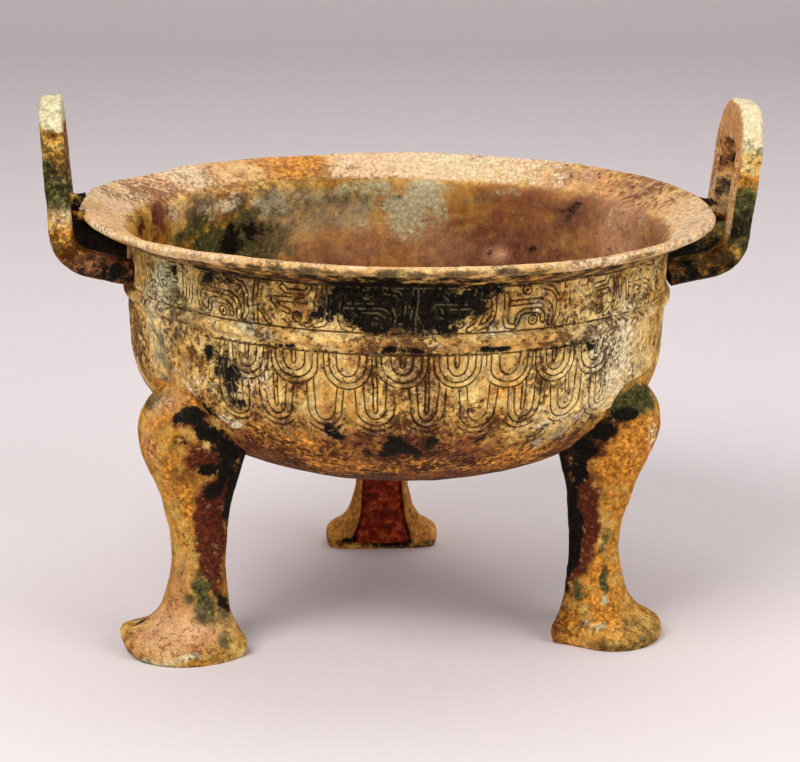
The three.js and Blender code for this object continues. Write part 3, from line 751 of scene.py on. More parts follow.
def make_bowl(material):
    """The profile is turned about the axis in rings, fine where the wall is decorated. Each
    point then moves along the profile's normal: inward at grooves, and by random fields
    for the lumps and pits of the cast and corroded face."""
    along, path = bowl_profile()
    crest = int(np.argmax(path[:, 0]))
    outer = slice(0, crest)
    at = lambda height: np.interp(height, path[outer, 1], along[outer])
    lip_end = along[crest] + 10
    throat = lip_end + 24
    # From, to, distance between rings, columns
    zones = [
        (0.0, at(129.6), 3.8, COARSE), (at(129.6), at(174.6), 1.0, FINE),
        (at(174.6), at(184.8), 1.1, COARSE), (at(184.8), at(209.8), 1.0, FINE),
        (at(209.8), at(219.5), 2.2, COARSE), (at(219.5), lip_end, 1.0, FINE),
        (lip_end, throat, 2.4, COARSE), (throat, along[-1], 6.2, COARSE),
    ]
    places, counts = [], []
    for start, end, spacing, columns in zones:
        steps = math.ceil((end - start) / spacing)
        places += list(start + (end - start) * np.arange(steps) / steps)
        counts += [columns] * steps
    places, counts = np.array(places + [along[-1]]), np.array(counts + [1])
    counts[0] = 1
    radius, height = at_places(path, along, places).T
    lean = at_places(np.gradient(path, along, axis=0), along, places)
    lean /= np.hypot(*lean.T)[:, None]
    ring = np.repeat(np.arange(len(counts)), counts)
    column = np.concatenate([np.arange(count) for count in counts])
    azimuth = 2 * math.pi * column / counts[ring]
    degrees = (np.degrees(azimuth) + 180) % 360 - 180
    r, z = radius[ring], height[ring]
    out, up = lean[ring, 1], -lean[ring, 0]
    upright = np.stack([r * np.sin(azimuth), -r * np.cos(azimuth), z], 1)
    outside = (places < along[crest] + 2)[ring]

    # Far from the grooves each number keeps the sign that its neighbours have
    line_a = np.where(outside & (z < SCALES_TOP), -9.0, 9.0)
    line_b = np.full(len(r), -9.0)
    warp_a, warp_b = rough(upright, 14, 11, 2), rough(upright, 14, 12, 2)
    scaled = outside & (z > LOWER_BOTTOM - 3) & (z < SCALES_TOP + 2)
    upper, lower, worn = scales((degrees + 0.2 * warp_a)[scaled], (z + 0.4 * warp_b)[scaled])
    line_a[scaled] = nested([upper, z[scaled] - SCALES_TOP])
    line_b[scaled] = -lower
    banded = outside & (z > BAND_BOTTOM - 3) & (z < BAND_TOP + 1.5)
    line_a[banded], line_b[banded] = dragons((degrees + 0.15 * warp_a)[banded], z[banded])

    # Patches without grooves: few at the front, more at both sides
    wear = fall(rough(upright, 22, 23), -0.9, -0.3)
    wear *= 0.3 + 0.7 * smooth(np.abs(degrees), 32, 44)
    left_side = fall(degrees, -46, -36) * (degrees > -100)
    sides = 0.85 * (left_side + smooth(degrees, 46, 54) * (degrees < 100))
    wear[scaled] = np.maximum(wear[scaled], np.maximum(worn, sides[scaled]))
    wear = np.maximum(wear, 0.35 * sides)

    line = np.minimum(np.abs(line_a), np.abs(line_b))
    dense = counts[ring] == FINE
    push = -0.75 * fall(line, 0.1, 1.25) * (1 - wear)
    push = push + 0.35 * rough(upright, 18, 31) + 0.12 * dense * rough(upright, 4, 41, 2)
    push = push - 0.5 * dense * smooth(rough(upright, 5, 51, 2), 0.75, 1.1)
    # The rim isn't flat: a dent ends in a small step at the back left
    wave = 0.8 * np.cos(azimuth - 2.6) + 0.7 * rough(upright, 60, 61, 1)
    wave = wave + 1.6 * bell(degrees, -98, 9) - 0.9 * bell(degrees, -148, 24)
    wave = wave + 1.3 * bell(degrees, 140, 20)
    wave = wave - 1.6 * fall(degrees, -122, -108) * smooth(degrees, -131, -128.5)
    r = r + push * out
    z = z + push * up + smooth(radius[ring], 150, 168) * wave
    points = np.stack([r * np.sin(azimuth), -r * np.cos(azimuth), z], 1)

    layers = wall_layers(upright, r)
    for name, values in inside_layers(upright, r).items():
        layers[name] = np.where(outside, layers[name], values)
    rim = (z > 213) & (r > 148)
    specks = 0.76 + 0.5 * rough(upright, 40, 81) - 0.4 * (~outside & (z < 213)) - 0.4 * rim
    gritty = 0.6 * bell(degrees, -118, 18) + 0.8 * bell(degrees, 122, 20)
    piece("bowl_cast", hang(points), ring_faces(counts), material, "bowl_bronze", ["bowl"],
          line_a=line_a, line_b=line_b, wear=wear,
          specks=specks + 0.8 * gritty * rim * ~outside, **layers)


# Legs

LEG_SECTIONS = np.array([
    # height, inner, widest, outer, half width
    (0, -14, 5, 35.5, 31.5), (4.5, -14.6, 5, 36.5, 32.6), (9.5, -14, 3.5, 33.5, 31.2),
    (12.5, -13.2, 0.5, 28.2, 27), (16.5, -12.4, -2.5, 22.8, 22.8), (21.5, -11.4, -4, 18.6, 19.4),
    (29.5, -10.5, -5, 15.3, 17), (39.5, -9.9, -5, 12.8, 14.9), (51.5, -9.7, -5, 12, 14.3),
    (63.5, -9.8, -5, 13.8, 14.9), (75.5, -10.3, -5, 17.4, 16.6), (87.5, -11.4, -4, 21.6, 19.4),
    (99.5, -13.6, -2, 27.6, 23), (111.5, -15.5, -1, 32.6, 26.4), (121.5, -17, -1, 33.6, 27.8),
    (131.5, -18, -2, 30.8, 26.6), (139.5, -18, -4, 23.8, 22.5), (145.5, -17, -6, 14, 17),
])
LEGS = {
    # azimuth from +X, reach from the axis, splay of the foot, turn about the leg's axis
    "back": (93.5, 122, 0, 0),
    "front_left": (215, 124, 7, 12),
    "front_right": (334.5, 120.5, -0.5, -6),
}
KNEE_HEIGHT = 125
LEGS_CENTRE_X = -math.sin(TILT) * (RIM_HEIGHT - BASE_HEIGHT) + CENTRING
OUTER_SQUARENESS = 2.1
INNER_SQUARENESS = 5
CORE_FOOT, CORE_TOP = 3, 92
CORE_HALF, CORE_SHARE = 6.6, 0.3
CORE_WALL, CORE_RECESS, CHANNEL_DEPTH = 5.5, 1.2, 6


def hermite(at, known, values):
    """Smooth curve through known values, with the slopes of the chords beside each."""
    slope = np.gradient(values, known)
    i = np.clip(np.searchsorted(known, at) - 1, 0, len(known) - 2)
    step = known[i + 1] - known[i]
    t = (at - known[i]) / step
    return ((2 * t**3 - 3 * t**2 + 1) * values[i] + (t**3 - 2 * t**2 + t) * step * slope[i]
            + (3 * t**2 - 2 * t**3) * values[i + 1] + (t**3 - t**2) * step * slope[i + 1])


def leg_section(height, splay):
    """Reach inward, of the widest line and outward, and half the width, at a height. The
    splay carries the foot outward."""
    inner, widest, outer, half = (
        hermite(height, LEG_SECTIONS[:, 0], LEG_SECTIONS[:, i]) for i in range(1, 5))
    out = splay * (1 - height / KNEE_HEIGHT)
    return inner + out, widest + out, outer + out, half


def bend(value, squareness):
    """A cosine or sine turned into a superellipse's: its power 2/n, with its sign kept."""
    return np.sign(value) * np.abs(value) ** (2 / squareness)


def d_section(angle, inner, widest, outer, half, inner_squareness=INNER_SQUARENESS):
    """A D: a superellipse in front of its widest line, and a squarer one behind it."""
    cos, sin = np.cos(angle), np.sin(angle)
    front = cos > 0
    squareness = np.where(front, OUTER_SQUARENESS, inner_squareness)
    x = widest + np.where(front, outer - widest, widest - inner) * bend(cos, squareness)
    return x, half * bend(sin, squareness)


def leg_to_floor(x, y, z, place):
    """From a leg's own frame, x outward, to the floor's."""
    azimuth, reach, _, turn = LEGS[place]
    leg_x, leg_y = turned(reach, 0, math.radians(azimuth))
    x, y = turned(x, y, math.radians(azimuth + turn))
    return np.stack([LEGS_CENTRE_X + leg_x + x, leg_y + y, z], -1)


def off_the_bowl(points, gap):
    """Points inside the bowl's outer skin are carried out to it, along the line from the
    belly's centre."""
    x, z = turned(points[:, 0] - CENTRING, points[:, 2] - RIM_HEIGHT, TILT)
    y = points[:, 1]
    depth = BELLY_HEIGHT - RIM_HEIGHT - z
    form = ((np.hypot(x, y) / (BELLY_RADIUS + gap)) ** BELLY_SQUARENESS
            + (np.abs(depth) / (BELLY_HEIGHT - BASE_HEIGHT + gap)) ** BELLY_SQUARENESS)
    grow = np.maximum(form, 1e-3) ** (-1 / BELLY_SQUARENESS)
    grow = np.where((form < 1) & (depth > 0), grow, 1)
    return hang(np.stack([x * grow, y * grow, BELLY_HEIGHT - depth * grow], 1))


# How each foot departs from the plain leg: at an angle from the leg's outward direction,
# how far the foot's edge stands out and how far it is lifted off the floor, in mm
FEET = {
    "back": [(0, 0, 0)],
    "front_left": [(-58, 2.5, 7.5), (60, -1.5, 0)],
    "front_right": [(-95, -5.5, 0.5), (40, -1.0, 0)],
}


def make_leg(place, material):
    """Rings of a D-shaped section up the leg. A channel runs up its inner face for the clay
    core. The top is carried out to the bowl's skin, and the skin is roughened."""
    splay = LEGS[place][2]
    heights = np.concatenate([
        np.linspace(0, 2.9, 4), np.linspace(3.05, 91.9, 74), np.linspace(92.05, 145.5, 40)])
    angle = np.linspace(-math.pi, math.pi, 121)[:-1] + math.pi / 120
    inner, widest, outer, half = (a[:, None] for a in leg_section(heights, splay))
    x, y = d_section(angle[None, :], inner, widest, outer, half)
    core_half = CORE_HALF + CORE_SHARE * half + 0.3
    inside = (np.abs(y) < core_half) & (x < widest)
    channel = (heights > CORE_FOOT)[:, None] & (heights < CORE_TOP)[:, None]
    x = np.where(inside & channel, x + CHANNEL_DEPTH, x)
    x = x - bell(np.abs(y) - core_half, 1.5, 1.3) * (x < widest) * channel
    z = np.broadcast_to(heights[:, None], x.shape).copy()
    low = fall(z, 4, 26)
    degrees = np.degrees(np.broadcast_to(angle[None, :], x.shape))
    for direction, out, lifted in FEET[place]:
        near = bell((degrees - direction + 180) % 360, 180, 38)
        size = np.hypot(x - widest, y) + 1e-6
        x = x + (x - widest) / size * out * near * low
        y = y + y / size * out * near * low
        lift = lifted * near * smooth(size, 8, 30) * fall(z, 2, 14)
        z = np.maximum(z + lift, 0.02 * z)
    points, faces = capped(leg_to_floor(x, y, z, place))
    away = (points - points.mean(0)) * (1, 1, 0)
    away = away / (np.linalg.norm(away, axis=1)[:, None] + 1e-6)
    push = 0.45 * rough(points, 14, 91 + len(place)) + 0.15 * rough(points, 4, 95, 2)
    points = points + away * (push * smooth(points[:, 2], 0, 6))[:, None]
    points = off_the_bowl(points, 0.15)
    piece(f"leg_{place}_cast", points, faces, material, "leg_bronze", [f"leg_{place}"],
          **leg_layers(place, points))


# Crusts on the legs: (out, across, height, reach across, reach up, strength) in each leg's
# own frame
LEG_SPOTS = {
    "front_left": {
        "dark": [(23, 18, 130.5, 9, 4.5, 1.0), (15, 25, 124, 9, 6, 1.1),
                 (6, 27, 116, 10, 8, 1.2), (0, 25, 105, 8, 12, 1.2),
                 (14, 22, 102, 9, 4, 0.8), (6, 20, 91, 7, 5, 0.8),
                 (28, 16, 119, 5, 4, 0.5), (-8, 20, 78, 7, 30, 1.2), (1, 18, 28, 5, 9, 0.7),
                 (27, -22, 13, 4, 3, 0.6)],
        "red": [(4, 13, 62, 8, 34, 1.4), (18, 22, 109, 9, 8, 1.0), (6, 18, 86, 9, 14, 1.1),
                (24, 14, 100, 6, 6, 0.5)],
        "rust": [(17, 9, 77, 8, 14, 0.9), (33, 0, 111, 14, 18, 0.6), (31, -4, 124, 9, 9, 0.6),
                 (18, 2, 62, 10, 16, 0.5), (24, -22, 6, 16, 4, 0.8), (20, 24, 6, 12, 4, 0.7)],
        "green": [(11, 12, 38, 7, 7, 1.0), (14, 17, 25, 9, 10, 1.1), (18, 8, 32, 5, 5, 0.9),
                  (12, 30, 11, 6, 4, 0.8), (5, 22, 20, 7, 8, 0.8), (25, -9, 139, 14, 5, 0.7)],
        "rose": [(27, 8, 16, 26, 12, 0.8), (25, 0, 138, 13, 8, 0.4), (17, 0, 34, 8, 18, 0.35),
                 (33, -4, 118, 6, 20, 0.3)],
        "pale": [(26, 12, 17, 12, 5, 0.38), (25, 2, 138, 9, 5, 0.4), (34, 20, 3.5, 20, 2.5, 0.5)],
        "mint": [(34, 12, 3, 22, 3, 0.6), (25, -24, 8, 6, 5, 0.5)],
    },
    "front_right": {
        "dark": [(22, -19, 130, 8, 5, 0.9), (14, -25, 120, 9, 6, 1.1), (6, -26, 111, 9, 8, 1.2),
                 (-2, -22, 97, 7, 13, 1.2), (-6, -16, 75, 5, 22, 1.2), (-7, -14, 45, 5, 24, 1.1)],
        "red": [(3, -15, 70, 6, 26, 1.3), (8, -17, 86, 8, 10, 0.6), (3, -12, 50, 5, 12, 0.7),
                (1, -31, 9, 6, 5, 0.9)],
        "rust": [(27, -10, 104, 22, 22, 1.1), (12, -18, 18, 12, 14, 1.1), (7, -11, 40, 8, 16, 1.0),
                 (30, -6, 122, 12, 10, 0.9), (16, -6, 72, 10, 16, 0.7)],
        "green": [(26, -10, 135, 20, 9, 1.2), (9.5, -8, 50, 3.5, 16, 0.8),
                  (10, -9, 34, 3.5, 8, 1.0), (1, -17, 29, 4, 6, 0.8),
                  (30, -14, 4, 30, 3, 0.6), (17, -24, 123, 5, 5, 0.5), (34, -6, 9, 18, 8, 0.5)],
        "mint": [(28, -6, 133, 12, 6, 0.6), (12, -12.5, 24.5, 3.5, 4, 0.8), (6, -27, 16, 6, 5, 1.2),
                 (14, -26, 12.5, 6, 3, 1.1), (9.5, -8, 44, 3, 7, 0.5)],
        "pale": [(32, -3, 118, 5, 14, 0.45), (30, -14, 10, 18, 4, 0.25)],
    },
    "back": {
        "dark": [(30, 0, 110, 20, 20, 0.6), (-14, 0, 2, 34, 3, 0.7), (20, 14, 60, 10, 16, 0.5)],
        "red": [(-8, 0, 90, 20, 14, 0.6)],
        "rust": [(-8, 18, 30, 18, 50, 1.2), (-8, -18, 30, 18, 50, 1.2), (24, 0, 80, 20, 30, 0.6)],
        "green": [(-12, -22, 2, 18, 3, 0.7), (28, -10, 120, 16, 12, 0.6), (30, 10, 8, 16, 8, 0.6)],
        # The pink on the back leg's flanks lightens them: painted light that makes up for the shade
        # under the bowl
        "rose": [(-8, 18, 30, 18, 50, 0.12), (-8, -18, 30, 18, 50, 0.16)],
        "pale": [(30, 0, 14, 20, 8, 0.4)],
    },
}


def leg_layers(place, points):
    """Crusts on a leg, with painted shade and painted light. The inner face, under the bowl, is
    dark: partly dark patina, partly painted shade. The rest is earthy and orange.
    """
    z = points[:, 2]
    spread = rough(points, 24, 101)
    azimuth, _, _, turn = LEGS[place]
    local = points - leg_to_floor(0, 0, 0, place)
    out, across = turned(local[:, 0], local[:, 1], -math.radians(azimuth + turn))
    own = np.stack([out, across, z], 1)
    inner = fall(out, -9, 3)
    front = place != "back"
    layers = {
        # The front legs' inner faces get a darker tint, painted shade over dark patina; the back
        # leg's inner face, which faces the front, gets a lighter tint instead, painted light that
        # makes up for the shade under the bowl
        "tint": 0.44 + 0.12 * spread - 0.08 * fall(z, 8, 24) + (0.25 if front else -0.1) * inner,
        # Dark crust on every leg's inner face above about 40 mm: partly dark patina, partly painted
        # shade under the bowl
        "dark": 0.8 * inner * smooth(z, 40, 90) + 0.4 * fall(z, 0.5, 2.5),
        "green": 0.2 * front - 0.1 * spread,
        "mint": 0.08,
        "red": (0.4 if front else 0.3) * inner,
        "rust": (0.36 if place == "front_left" else 0.5) + 0.16 * spread,
        "pale": 0.1 - 0.06 * spread,
        "rose": 0.04,
    }
    for name, rows in LEG_SPOTS[place].items():
        layers[name] = np.maximum(layers[name], stains(own, rows, 3.5, 13))
    if front:
        # Dark red lies round the black
        halo = [(x, y, up, 1.3 * across, 1.3 * high, 0.8 * much)
                for x, y, up, across, high, much in LEG_SPOTS[place]["dark"]]
        layers["red"] = np.maximum(layers["red"], stains(own, halo, 5, 14))
    layers["rose"] = layers["rose"] * (1 - 0.8 * np.minimum(layers["green"], 1))
    layers["rust"] = layers["rust"] * (1 - 0.5 * np.minimum(layers["rose"], 1))
    # The back leg gets fewer specks, which lightens it: painted light that makes up for the shade
    # under the bowl
    layers["specks"] = 0.36 + 0.3 * spread + (0.35 * fall(z, 10, 40) if front else -0.25)
    layers["calm"] = 0.45
    return layers


def make_core(place, material):
    """The clay core: its own D-shaped rings, a little back from the leg's inner face."""
    splay = LEGS[place][2]
    heights = np.concatenate([[CORE_FOOT + 0.1, CORE_FOOT + 0.3],
                              np.linspace(CORE_FOOT + 1.5, CORE_TOP - 1, 60), [CORE_TOP - 0.2]])
    angle = np.linspace(-math.pi, math.pi, 65)[:-1]
    inner, widest, outer, half = (a[:, None] for a in leg_section(heights, splay))
    x, y = d_section(angle[None, :], inner + CORE_RECESS, widest, outer - CORE_WALL,
                     CORE_HALF + CORE_SHARE * half, 8)
    z = np.broadcast_to(heights[:, None], x.shape)
    points, faces = capped(leg_to_floor(x, y, z, place))
    bumps = rough(points, 7, 111, 3) * 0.5
    turn = math.radians(LEGS[place][0] + LEGS[place][3])
    points = points + np.outer(bumps, (-math.cos(turn), -math.sin(turn), 0))
    piece(f"leg_core_{place}_clay", points, faces, material, "core_clay",
          [f"leg_core_{place}"])


# Handles and struts

HANDLE_AZIMUTH = math.radians(5)
HANDLE_SPREAD = 27.5
BAR_WIDTH, BAR_THICKNESS = 17, 12.4
BAR_SQUARENESS = 5.5
ARM_ROOT, ARM_ELBOW = np.array((143.0, 192.9)), np.array((178.8, 200.6))
HANDLE_TOP = np.array((184.9, 273.2))
ELBOW_RADIUS, TOP_CORNER_RADIUS = 15, 21
STRUT_START, STRUT_LENGTH, STRUT_HEIGHT = 167.5, 10, RIM_HEIGHT - 2.3
STRUT_SPREAD = 22
STRUT_RADII = {
    ("left", "front"): 2.4, ("left", "back"): 3.8,
    ("right", "front"): 2.3, ("right", "back"): 2.3,
}


def handle_to_vessel(grid, side):
    """From a handle's own frame, x outward, to the vessel's."""
    x, y = turned(grid[..., 0], grid[..., 1], HANDLE_AZIMUTH + math.pi * (side == "left"))
    return np.stack([x, y, grid[..., 2]], -1)


def handle_path(steps=260):
    """Centre line of a handle, (out, across, up), and how far along it each point lies. One
    half runs from the wall to the top's middle, its bend and corner being Bezier curves,
    and the other half mirrors it."""
    slope = (ARM_ELBOW - ARM_ROOT) / np.linalg.norm(ARM_ELBOW - ARM_ROOT)
    lean = (HANDLE_TOP - ARM_ELBOW) / np.linalg.norm(HANDLE_TOP - ARM_ELBOW)
    arm_end = ARM_ELBOW - ELBOW_RADIUS * slope
    upright_start = ARM_ELBOW + ELBOW_RADIUS * lean
    upright_end = HANDLE_TOP - TOP_CORNER_RADIUS * lean
    inset = HANDLE_SPREAD - TOP_CORNER_RADIUS
    corner = 0.5523 * TOP_CORNER_RADIUS
    point = lambda flat, across: np.array((flat[0], across, flat[1]))
    t = np.linspace(0, 1, 60)[:, None]
    line = lambda a, b: a + (b - a) * t
    bend_line = ((1 - t) ** 2 * point(arm_end, HANDLE_SPREAD)
                 + 2 * t * (1 - t) * point(ARM_ELBOW, HANDLE_SPREAD)
                 + t**2 * point(upright_start, HANDLE_SPREAD))
    p0, p3 = point(upright_end, HANDLE_SPREAD), point(HANDLE_TOP, inset)
    p1 = point(HANDLE_TOP - (TOP_CORNER_RADIUS - corner) * lean, HANDLE_SPREAD)
    p2 = point(HANDLE_TOP, inset + corner)
    corner_line = ((1 - t) ** 3 * p0 + 3 * t * (1 - t) ** 2 * p1
                   + 3 * t**2 * (1 - t) * p2 + t**3 * p3)
    half = np.concatenate([
        line(point(ARM_ROOT, HANDLE_SPREAD), point(arm_end, HANDLE_SPREAD)), bend_line[1:],
        line(point(upright_start, HANDLE_SPREAD), p0)[1:], corner_line[1:],
        line(p3, point(HANDLE_TOP, 0))[1:]])
    path = np.concatenate([half, (half * (1, -1, 1))[-2::-1]])
    along = lengths_along(path)
    even = np.linspace(0, along[-1], steps)
    return even, at_places(path, along, even)


def make_handle(side, material):
    """A superelliptic bar along the path. Its thickness direction stays square to the path
    and to the line across the handle."""
    along, path = handle_path()
    ahead = np.gradient(path, along, axis=0)
    ahead /= np.linalg.norm(ahead, axis=1)[:, None]
    flat = ahead * (1, 0, 1)
    flat /= np.linalg.norm(flat, axis=1)[:, None] + 1e-9
    lean_x, lean_z = (HANDLE_TOP - ARM_ELBOW) / np.linalg.norm(HANDLE_TOP - ARM_ELBOW)
    rising = np.where(path[:, 1] > 0, 1, -1)[:, None] * flat
    rising = np.where((path[:, 2] > 225)[:, None], (lean_x, 0, lean_z), rising)
    thick = np.stack([rising[:, 2], 0 * along, -rising[:, 0]], 1)
    wide = np.cross(ahead, thick)
    angle = np.linspace(0, 2 * math.pi, 57)[:-1]
    across = BAR_WIDTH / 2 * bend(np.cos(angle), BAR_SQUARENESS)
    deep = BAR_THICKNESS / 2 * bend(np.sin(angle), BAR_SQUARENESS)
    grid = (path[:, None] + across[None, :, None] * wide[:, None]
            + deep[None, :, None] * thick[:, None])
    # The far elbow of the left handle is clotted. The right handle leans out a little, and
    # its arch hangs lower into the loop
    if side == "left":
        clot = bell(grid[..., 2], 209, 11) * (grid[..., 1] < 0) * np.minimum(np.sin(angle), 0)
        grid = grid + 4.5 * clot[..., None] * thick[:, None]
    else:
        grid[..., 0] += 1.5 * smooth(grid[..., 2], 205, 285)
        arch = fall(np.cos(angle), -0.8, 0) * smooth(path[:, 2], 252, 268)[:, None]
        grid[..., 2] -= 5 * arch
    away = grid - path[:, None]
    away = away / np.linalg.norm(away, axis=2)[..., None]
    flat_points = grid.reshape(-1, 3)
    seed = 121 if side == "left" else 131
    push = 0.4 * rough(flat_points, 12, seed) + 0.14 * rough(flat_points, 3.5, seed + 3, 2)
    grid = grid + away * push.reshape(grid.shape[:2])[..., None]
    points, faces = capped(handle_to_vessel(grid, side))
    facing = np.tile(np.stack([np.cos(angle), np.sin(angle)], 1), (len(path), 1))
    facing = np.concatenate([[[0, 0]], facing, [[0, 0]]])
    piece(f"handle_{side}_cast", hang(points), faces, material, "handle_bronze",
          [f"handle_{side}"], **handle_layers(side, points, *facing.T))


def handle_layers(side, points, away, outward):
    """Crusts on a handle, by height and by face, with painted shade on the far upright and inside
    the loop: `away` is 1 on the loop's outer edge and -1 inside the loop, and `outward` is 1 on the
    face away from the bowl and -1 on the other."""
    z = points[:, 2]
    spread = rough(points, 18, 141)
    level = z + 4 * spread
    far = smooth(points[:, 1], -8, 8)
    near = 1 - far
    low = fall(level, 196, 208)
    under = low * smooth(outward, 0.3, 0.8)
    if side == "left":
        top = smooth(level, 267, 273)
        return {
            "tint": 0.58 + 0.12 * spread - 0.3 * top - 0.2 * bell(level, 261, 6)
                    - 0.3 * bell(level, 214, 6) * near + 0.35 * low,
            "pale": 0.6 * top + 0.42 * bell(level, 220, 9) * near,
            "rose": 0.3 * far * (z > 215) + 0.2 * low,
            "rust": 0.1 * bell(level, 261, 6) + 0.8 * bell(level, 214, 5) * near + 0.4 * under,
            "green": 0.9 * bell(level, 243, 15) + 0.3 * bell(level, 232, 10),
            "mint": 1.1 * bell(level, 239, 13) * near + top,
            # On the far upright below about 230 mm, dark is partly painted shadow in the gap
            # between the upright and the lip, partly dark crust
            "dark": 0.66 * low - 0.4 * under + 0.9 * far * fall(z, 226, 240),
            "red": 0.9 * low + 0.6 * far * (1 - top),
            "specks": 0.95 + 0.3 * spread - 0.9 * top,
            "calm": 0.2 - 0.2 * low + 0.6 * top,
        }
    top = smooth(level, 257, 268)
    bowlward = fall(outward, -0.85, -0.5)
    inside = fall(away, -0.85, -0.5)
    front = near * (1 - bowlward) * (1 - inside)
    return {
        "tint": 0.5 + 0.12 * spread - 0.3 * top - 0.15 * bowlward + 0.3 * low
                - 0.42 * bell(level, 252, 11) * front,
        "pale": 0.95 * top * (1 - inside) * (1 - bowlward) + 0.3 * bowlward * (z > 215)
                + 0.05 * bell(level, 251, 7) * front,
        "rose": 0.45 * bowlward * (z > 212) + 0.2 * inside * far * (z > 215),
        "rust": (0.5 * bell(level, 249, 9) + 0.4 * bell(level, 240, 5)) * front
                + 0.9 * bowlward * (z > 246) + 0.8 * under * (z > 190),
        # The faces inside the loop get green below about 238 mm: partly dark green crust, partly
        # painted shade
        "green": 0.95 * bell(level, 222, 14) * front + 0.3 * (1 - bell(level, 252, 12))
                 + 0.4 * inside * (z < 238) + 0.35 * low,
        "mint": 0.8 * top * (1 - bowlward) + 0.6 * bell(level, 266, 10) * front,
        # Inside the loop on the far upright, and on the far arm low down, dark is laid on: painted
        # shade over dark crust
        "dark": 0.55 * bell(level, 218, 14) * front + 0.5 * low - 0.4 * under
                + 0.45 * inside * far * (z > 226) + 0.5 * far * low,
        "red": 0.8 * under + 0.6 * low,
        "specks": 0.8 + 0.3 * spread - 0.7 * top,
        "calm": 0.3 - 0.3 * low + 0.5 * top,
    }


def make_strut(side, end, material):
    """A rough round bar, thicker at both ends, from the lip into the handle's upright."""
    across = -STRUT_SPREAD if (side == "right") == (end == "front") else STRUT_SPREAD
    t, angle = np.meshgrid(np.linspace(0, 1, 24), np.linspace(0, 2 * math.pi, 25)[:-1],
                           indexing="ij")
    radius = STRUT_RADII[side, end] + 0.7 * (2 * t - 1) ** 4
    grid = np.stack([STRUT_START + STRUT_LENGTH * t, across + radius * np.cos(angle),
                     STRUT_HEIGHT + radius * np.sin(angle)], -1)
    push = 0.25 * rough(grid.reshape(-1, 3), 3, 151).reshape(radius.shape)
    grid[..., 1] += push * np.cos(angle)
    grid[..., 2] += push * np.sin(angle)
    points, faces = capped(handle_to_vessel(grid, side))
    near = end == "front"
    # The back struts are made much darker: painted shadow where they lie behind, between the lip
    # and the far upright
    piece(f"strut_{side}_{end}_cast", hang(points), faces, material, "strut_bronze",
          [f"strut_{side}_{end}"], tint=0.66, specks=0.9, red=0.6,
          rust=0.45 if near else 0.1, dark=0.4 if near else 0.9)


# Spacers

SPACER_RINGS = ((42, 3, 35), (98, 6, 5))
SPACER_HALF = (6, 5)
SPACER_PROUD = 0.25


def make_spacers(material):
    """Small plates let into the belly in rings of (radius, how many, turn): a grid over the
    wall's outer face, a quarter of a millimetre proud of it except at its edge, joined to
    the same grid on the inner face."""
    side = np.linspace(-1, 1, 13)
    u, v = (a.ravel() for a in np.meshgrid(side, side, indexing="ij"))
    edge_on = (np.abs(u) > 0.99) | (np.abs(v) > 0.99)
    cell = np.arange(len(u)).reshape(len(side), -1)
    front = np.stack([cell[:-1, :-1], cell[:-1, 1:], cell[1:, 1:], cell[1:, :-1]], -1)
    front = front.reshape(-1, 4)
    edge = np.concatenate([cell[0], cell[1:, -1], cell[-1, -2::-1], cell[-2:0:-1, 0]])
    after = np.roll(edge, -1)
    walls = np.stack([edge, edge + len(u), after + len(u), after], 1)
    faces = np.concatenate([front, front[:, ::-1] + len(u), walls])
    faces = np.concatenate([faces[:, [0, 1, 2]], faces[:, [0, 2, 3]]])
    number = 0
    for radius, count, turn in SPACER_RINGS:
        for azimuth in math.radians(turn) + np.arange(count) * 2 * math.pi / count:
            number += 1
            across = SPACER_HALF[1] * v * (1 + 0.08 * np.sin(4 * u + number))
            rise = SPACER_PROUD * ~edge_on + 0.1 * np.sin(3 * u + number) * np.cos(2 * v)
            skins = []
            for offset, outward in ((0, 1), (-WALL, -1)):
                profile = belly(offset, 900)
                along = lengths_along(profile)
                place = np.interp(radius, profile[:, 0], along) + SPACER_HALF[0] * bend(u, 1.7)
                r, z = at_places(profile, along, place).T
                lean_r, lean_z = at_places(np.gradient(profile, along, axis=0), along, place).T
                x, y = turned(r + outward * rise * lean_z, across, azimuth)
                skins.append(np.stack([x, y, z - outward * rise * lean_r], 1))
            piece(f"spacer_{number}_plate", hang(np.concatenate(skins)), faces, material,
                  "spacer_bronze", [f"spacer_{number}"], tint=0.6, specks=0.6, dark=0.3,
                  green=0.3, rust=0.3)


# Floor and light

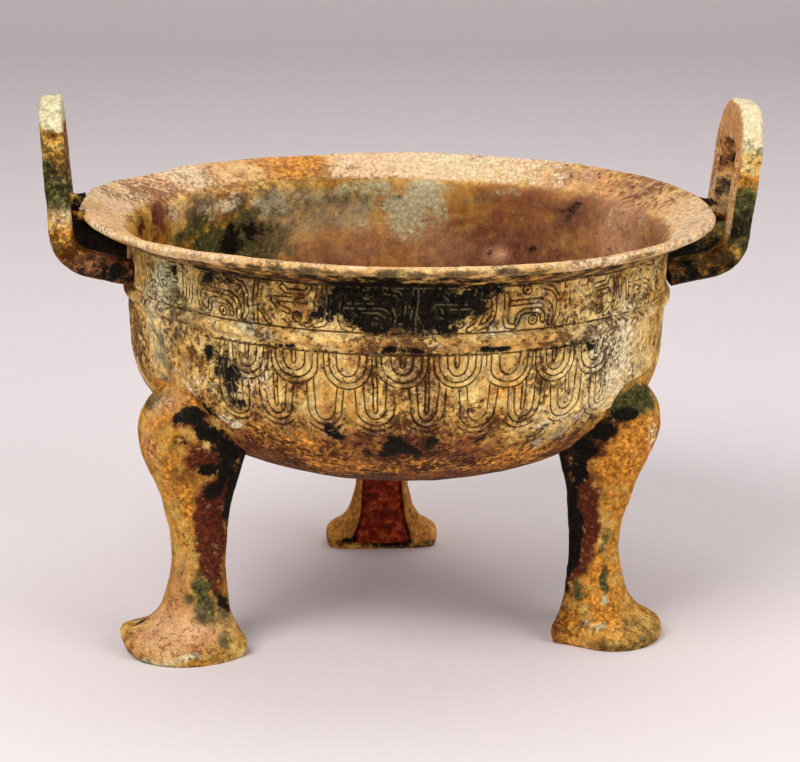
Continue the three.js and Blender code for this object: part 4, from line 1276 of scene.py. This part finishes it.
def make_stage():
    """A plain pale floor that curves up into a backdrop far behind."""
    t = np.linspace(0, 1, 33)
    angle = t * math.pi / 2
    depth = np.concatenate([[-3.0], 2.4 + 0.8 * np.sin(angle), [3.2]])
    rise = np.concatenate([[0.0], 0.8 * (1 - np.cos(angle)), [5.0]])
    x = np.array([-4.5, 4.5])
    grid = np.stack([np.repeat(x, len(depth)), np.tile(depth, 2), np.tile(rise, 2)], 1)
    n = len(depth)
    i = np.arange(n - 1)
    mesh = bpy.data.meshes.new("floor")
    mesh.from_pydata(grid, [], np.stack([i, i + n, i + n + 1, i + 1], 1))
    mesh.shade_smooth()
    material = bpy.data.materials.new("pale_paper")
    material.use_nodes = True
    shader = material.node_tree.nodes["Principled BSDF"]
    shader.inputs["Base Color"].default_value = linear("#e4dada")
    shader.inputs["Roughness"].default_value = 0.9
    mesh.materials.append(material)
    floor = bpy.data.objects.new("floor", mesh)
    bpy.context.scene.collection.objects.link(floor)


def make_lamp(name, place, size, power, target=(0, 0, 0.15)):
    """A round softbox that faces the target. Places and size are in metres."""
    data = bpy.data.lights.new(name, "AREA")
    data.shape = "DISK"
    data.size = size
    data.energy = power
    lamp = bpy.data.objects.new(name, data)
    lamp.location = place
    away = np.array(place) - target
    lamp.rotation_euler = (math.atan2(math.hypot(away[0], away[1]), away[2]), 0,
                           math.atan2(away[1], away[0]) + math.pi / 2)
    bpy.context.scene.collection.objects.link(lamp)


def make_light():
    """Three softboxes and a dim, even surround."""
    make_lamp("softbox_key", (-0.9, -1.3, 1.7), 1.4, 35)
    make_lamp("softbox_fill", (1.5, -1.2, 1.0), 1.6, 18)
    make_lamp("softbox_top", (0.2, 0.7, 1.9), 2.0, 14)
    world = bpy.data.worlds.new("studio")
    world.use_nodes = True
    background = world.node_tree.nodes["Background"]
    background.inputs["Color"].default_value = linear("#f2f1f4")
    background.inputs["Strength"].default_value = 0.42
    bpy.context.scene.world = world
    bpy.context.scene.view_settings.view_transform = "Standard"


make_camera()
bowl_bronze = old_bronze("cast_bronze_earthy_patina", grooved=True)
plain_bronze = old_bronze("cast_bronze_mixed_patina")
clay = baked_clay()
make_bowl(bowl_bronze)
for leg in LEGS:
    make_leg(leg, plain_bronze)
    make_core(leg, clay)
for side in ("left", "right"):
    make_handle(side, plain_bronze)
    for end in ("front", "back"):
        make_strut(side, end, plain_bronze)
make_spacers(plain_bronze)
make_stage()
make_light()
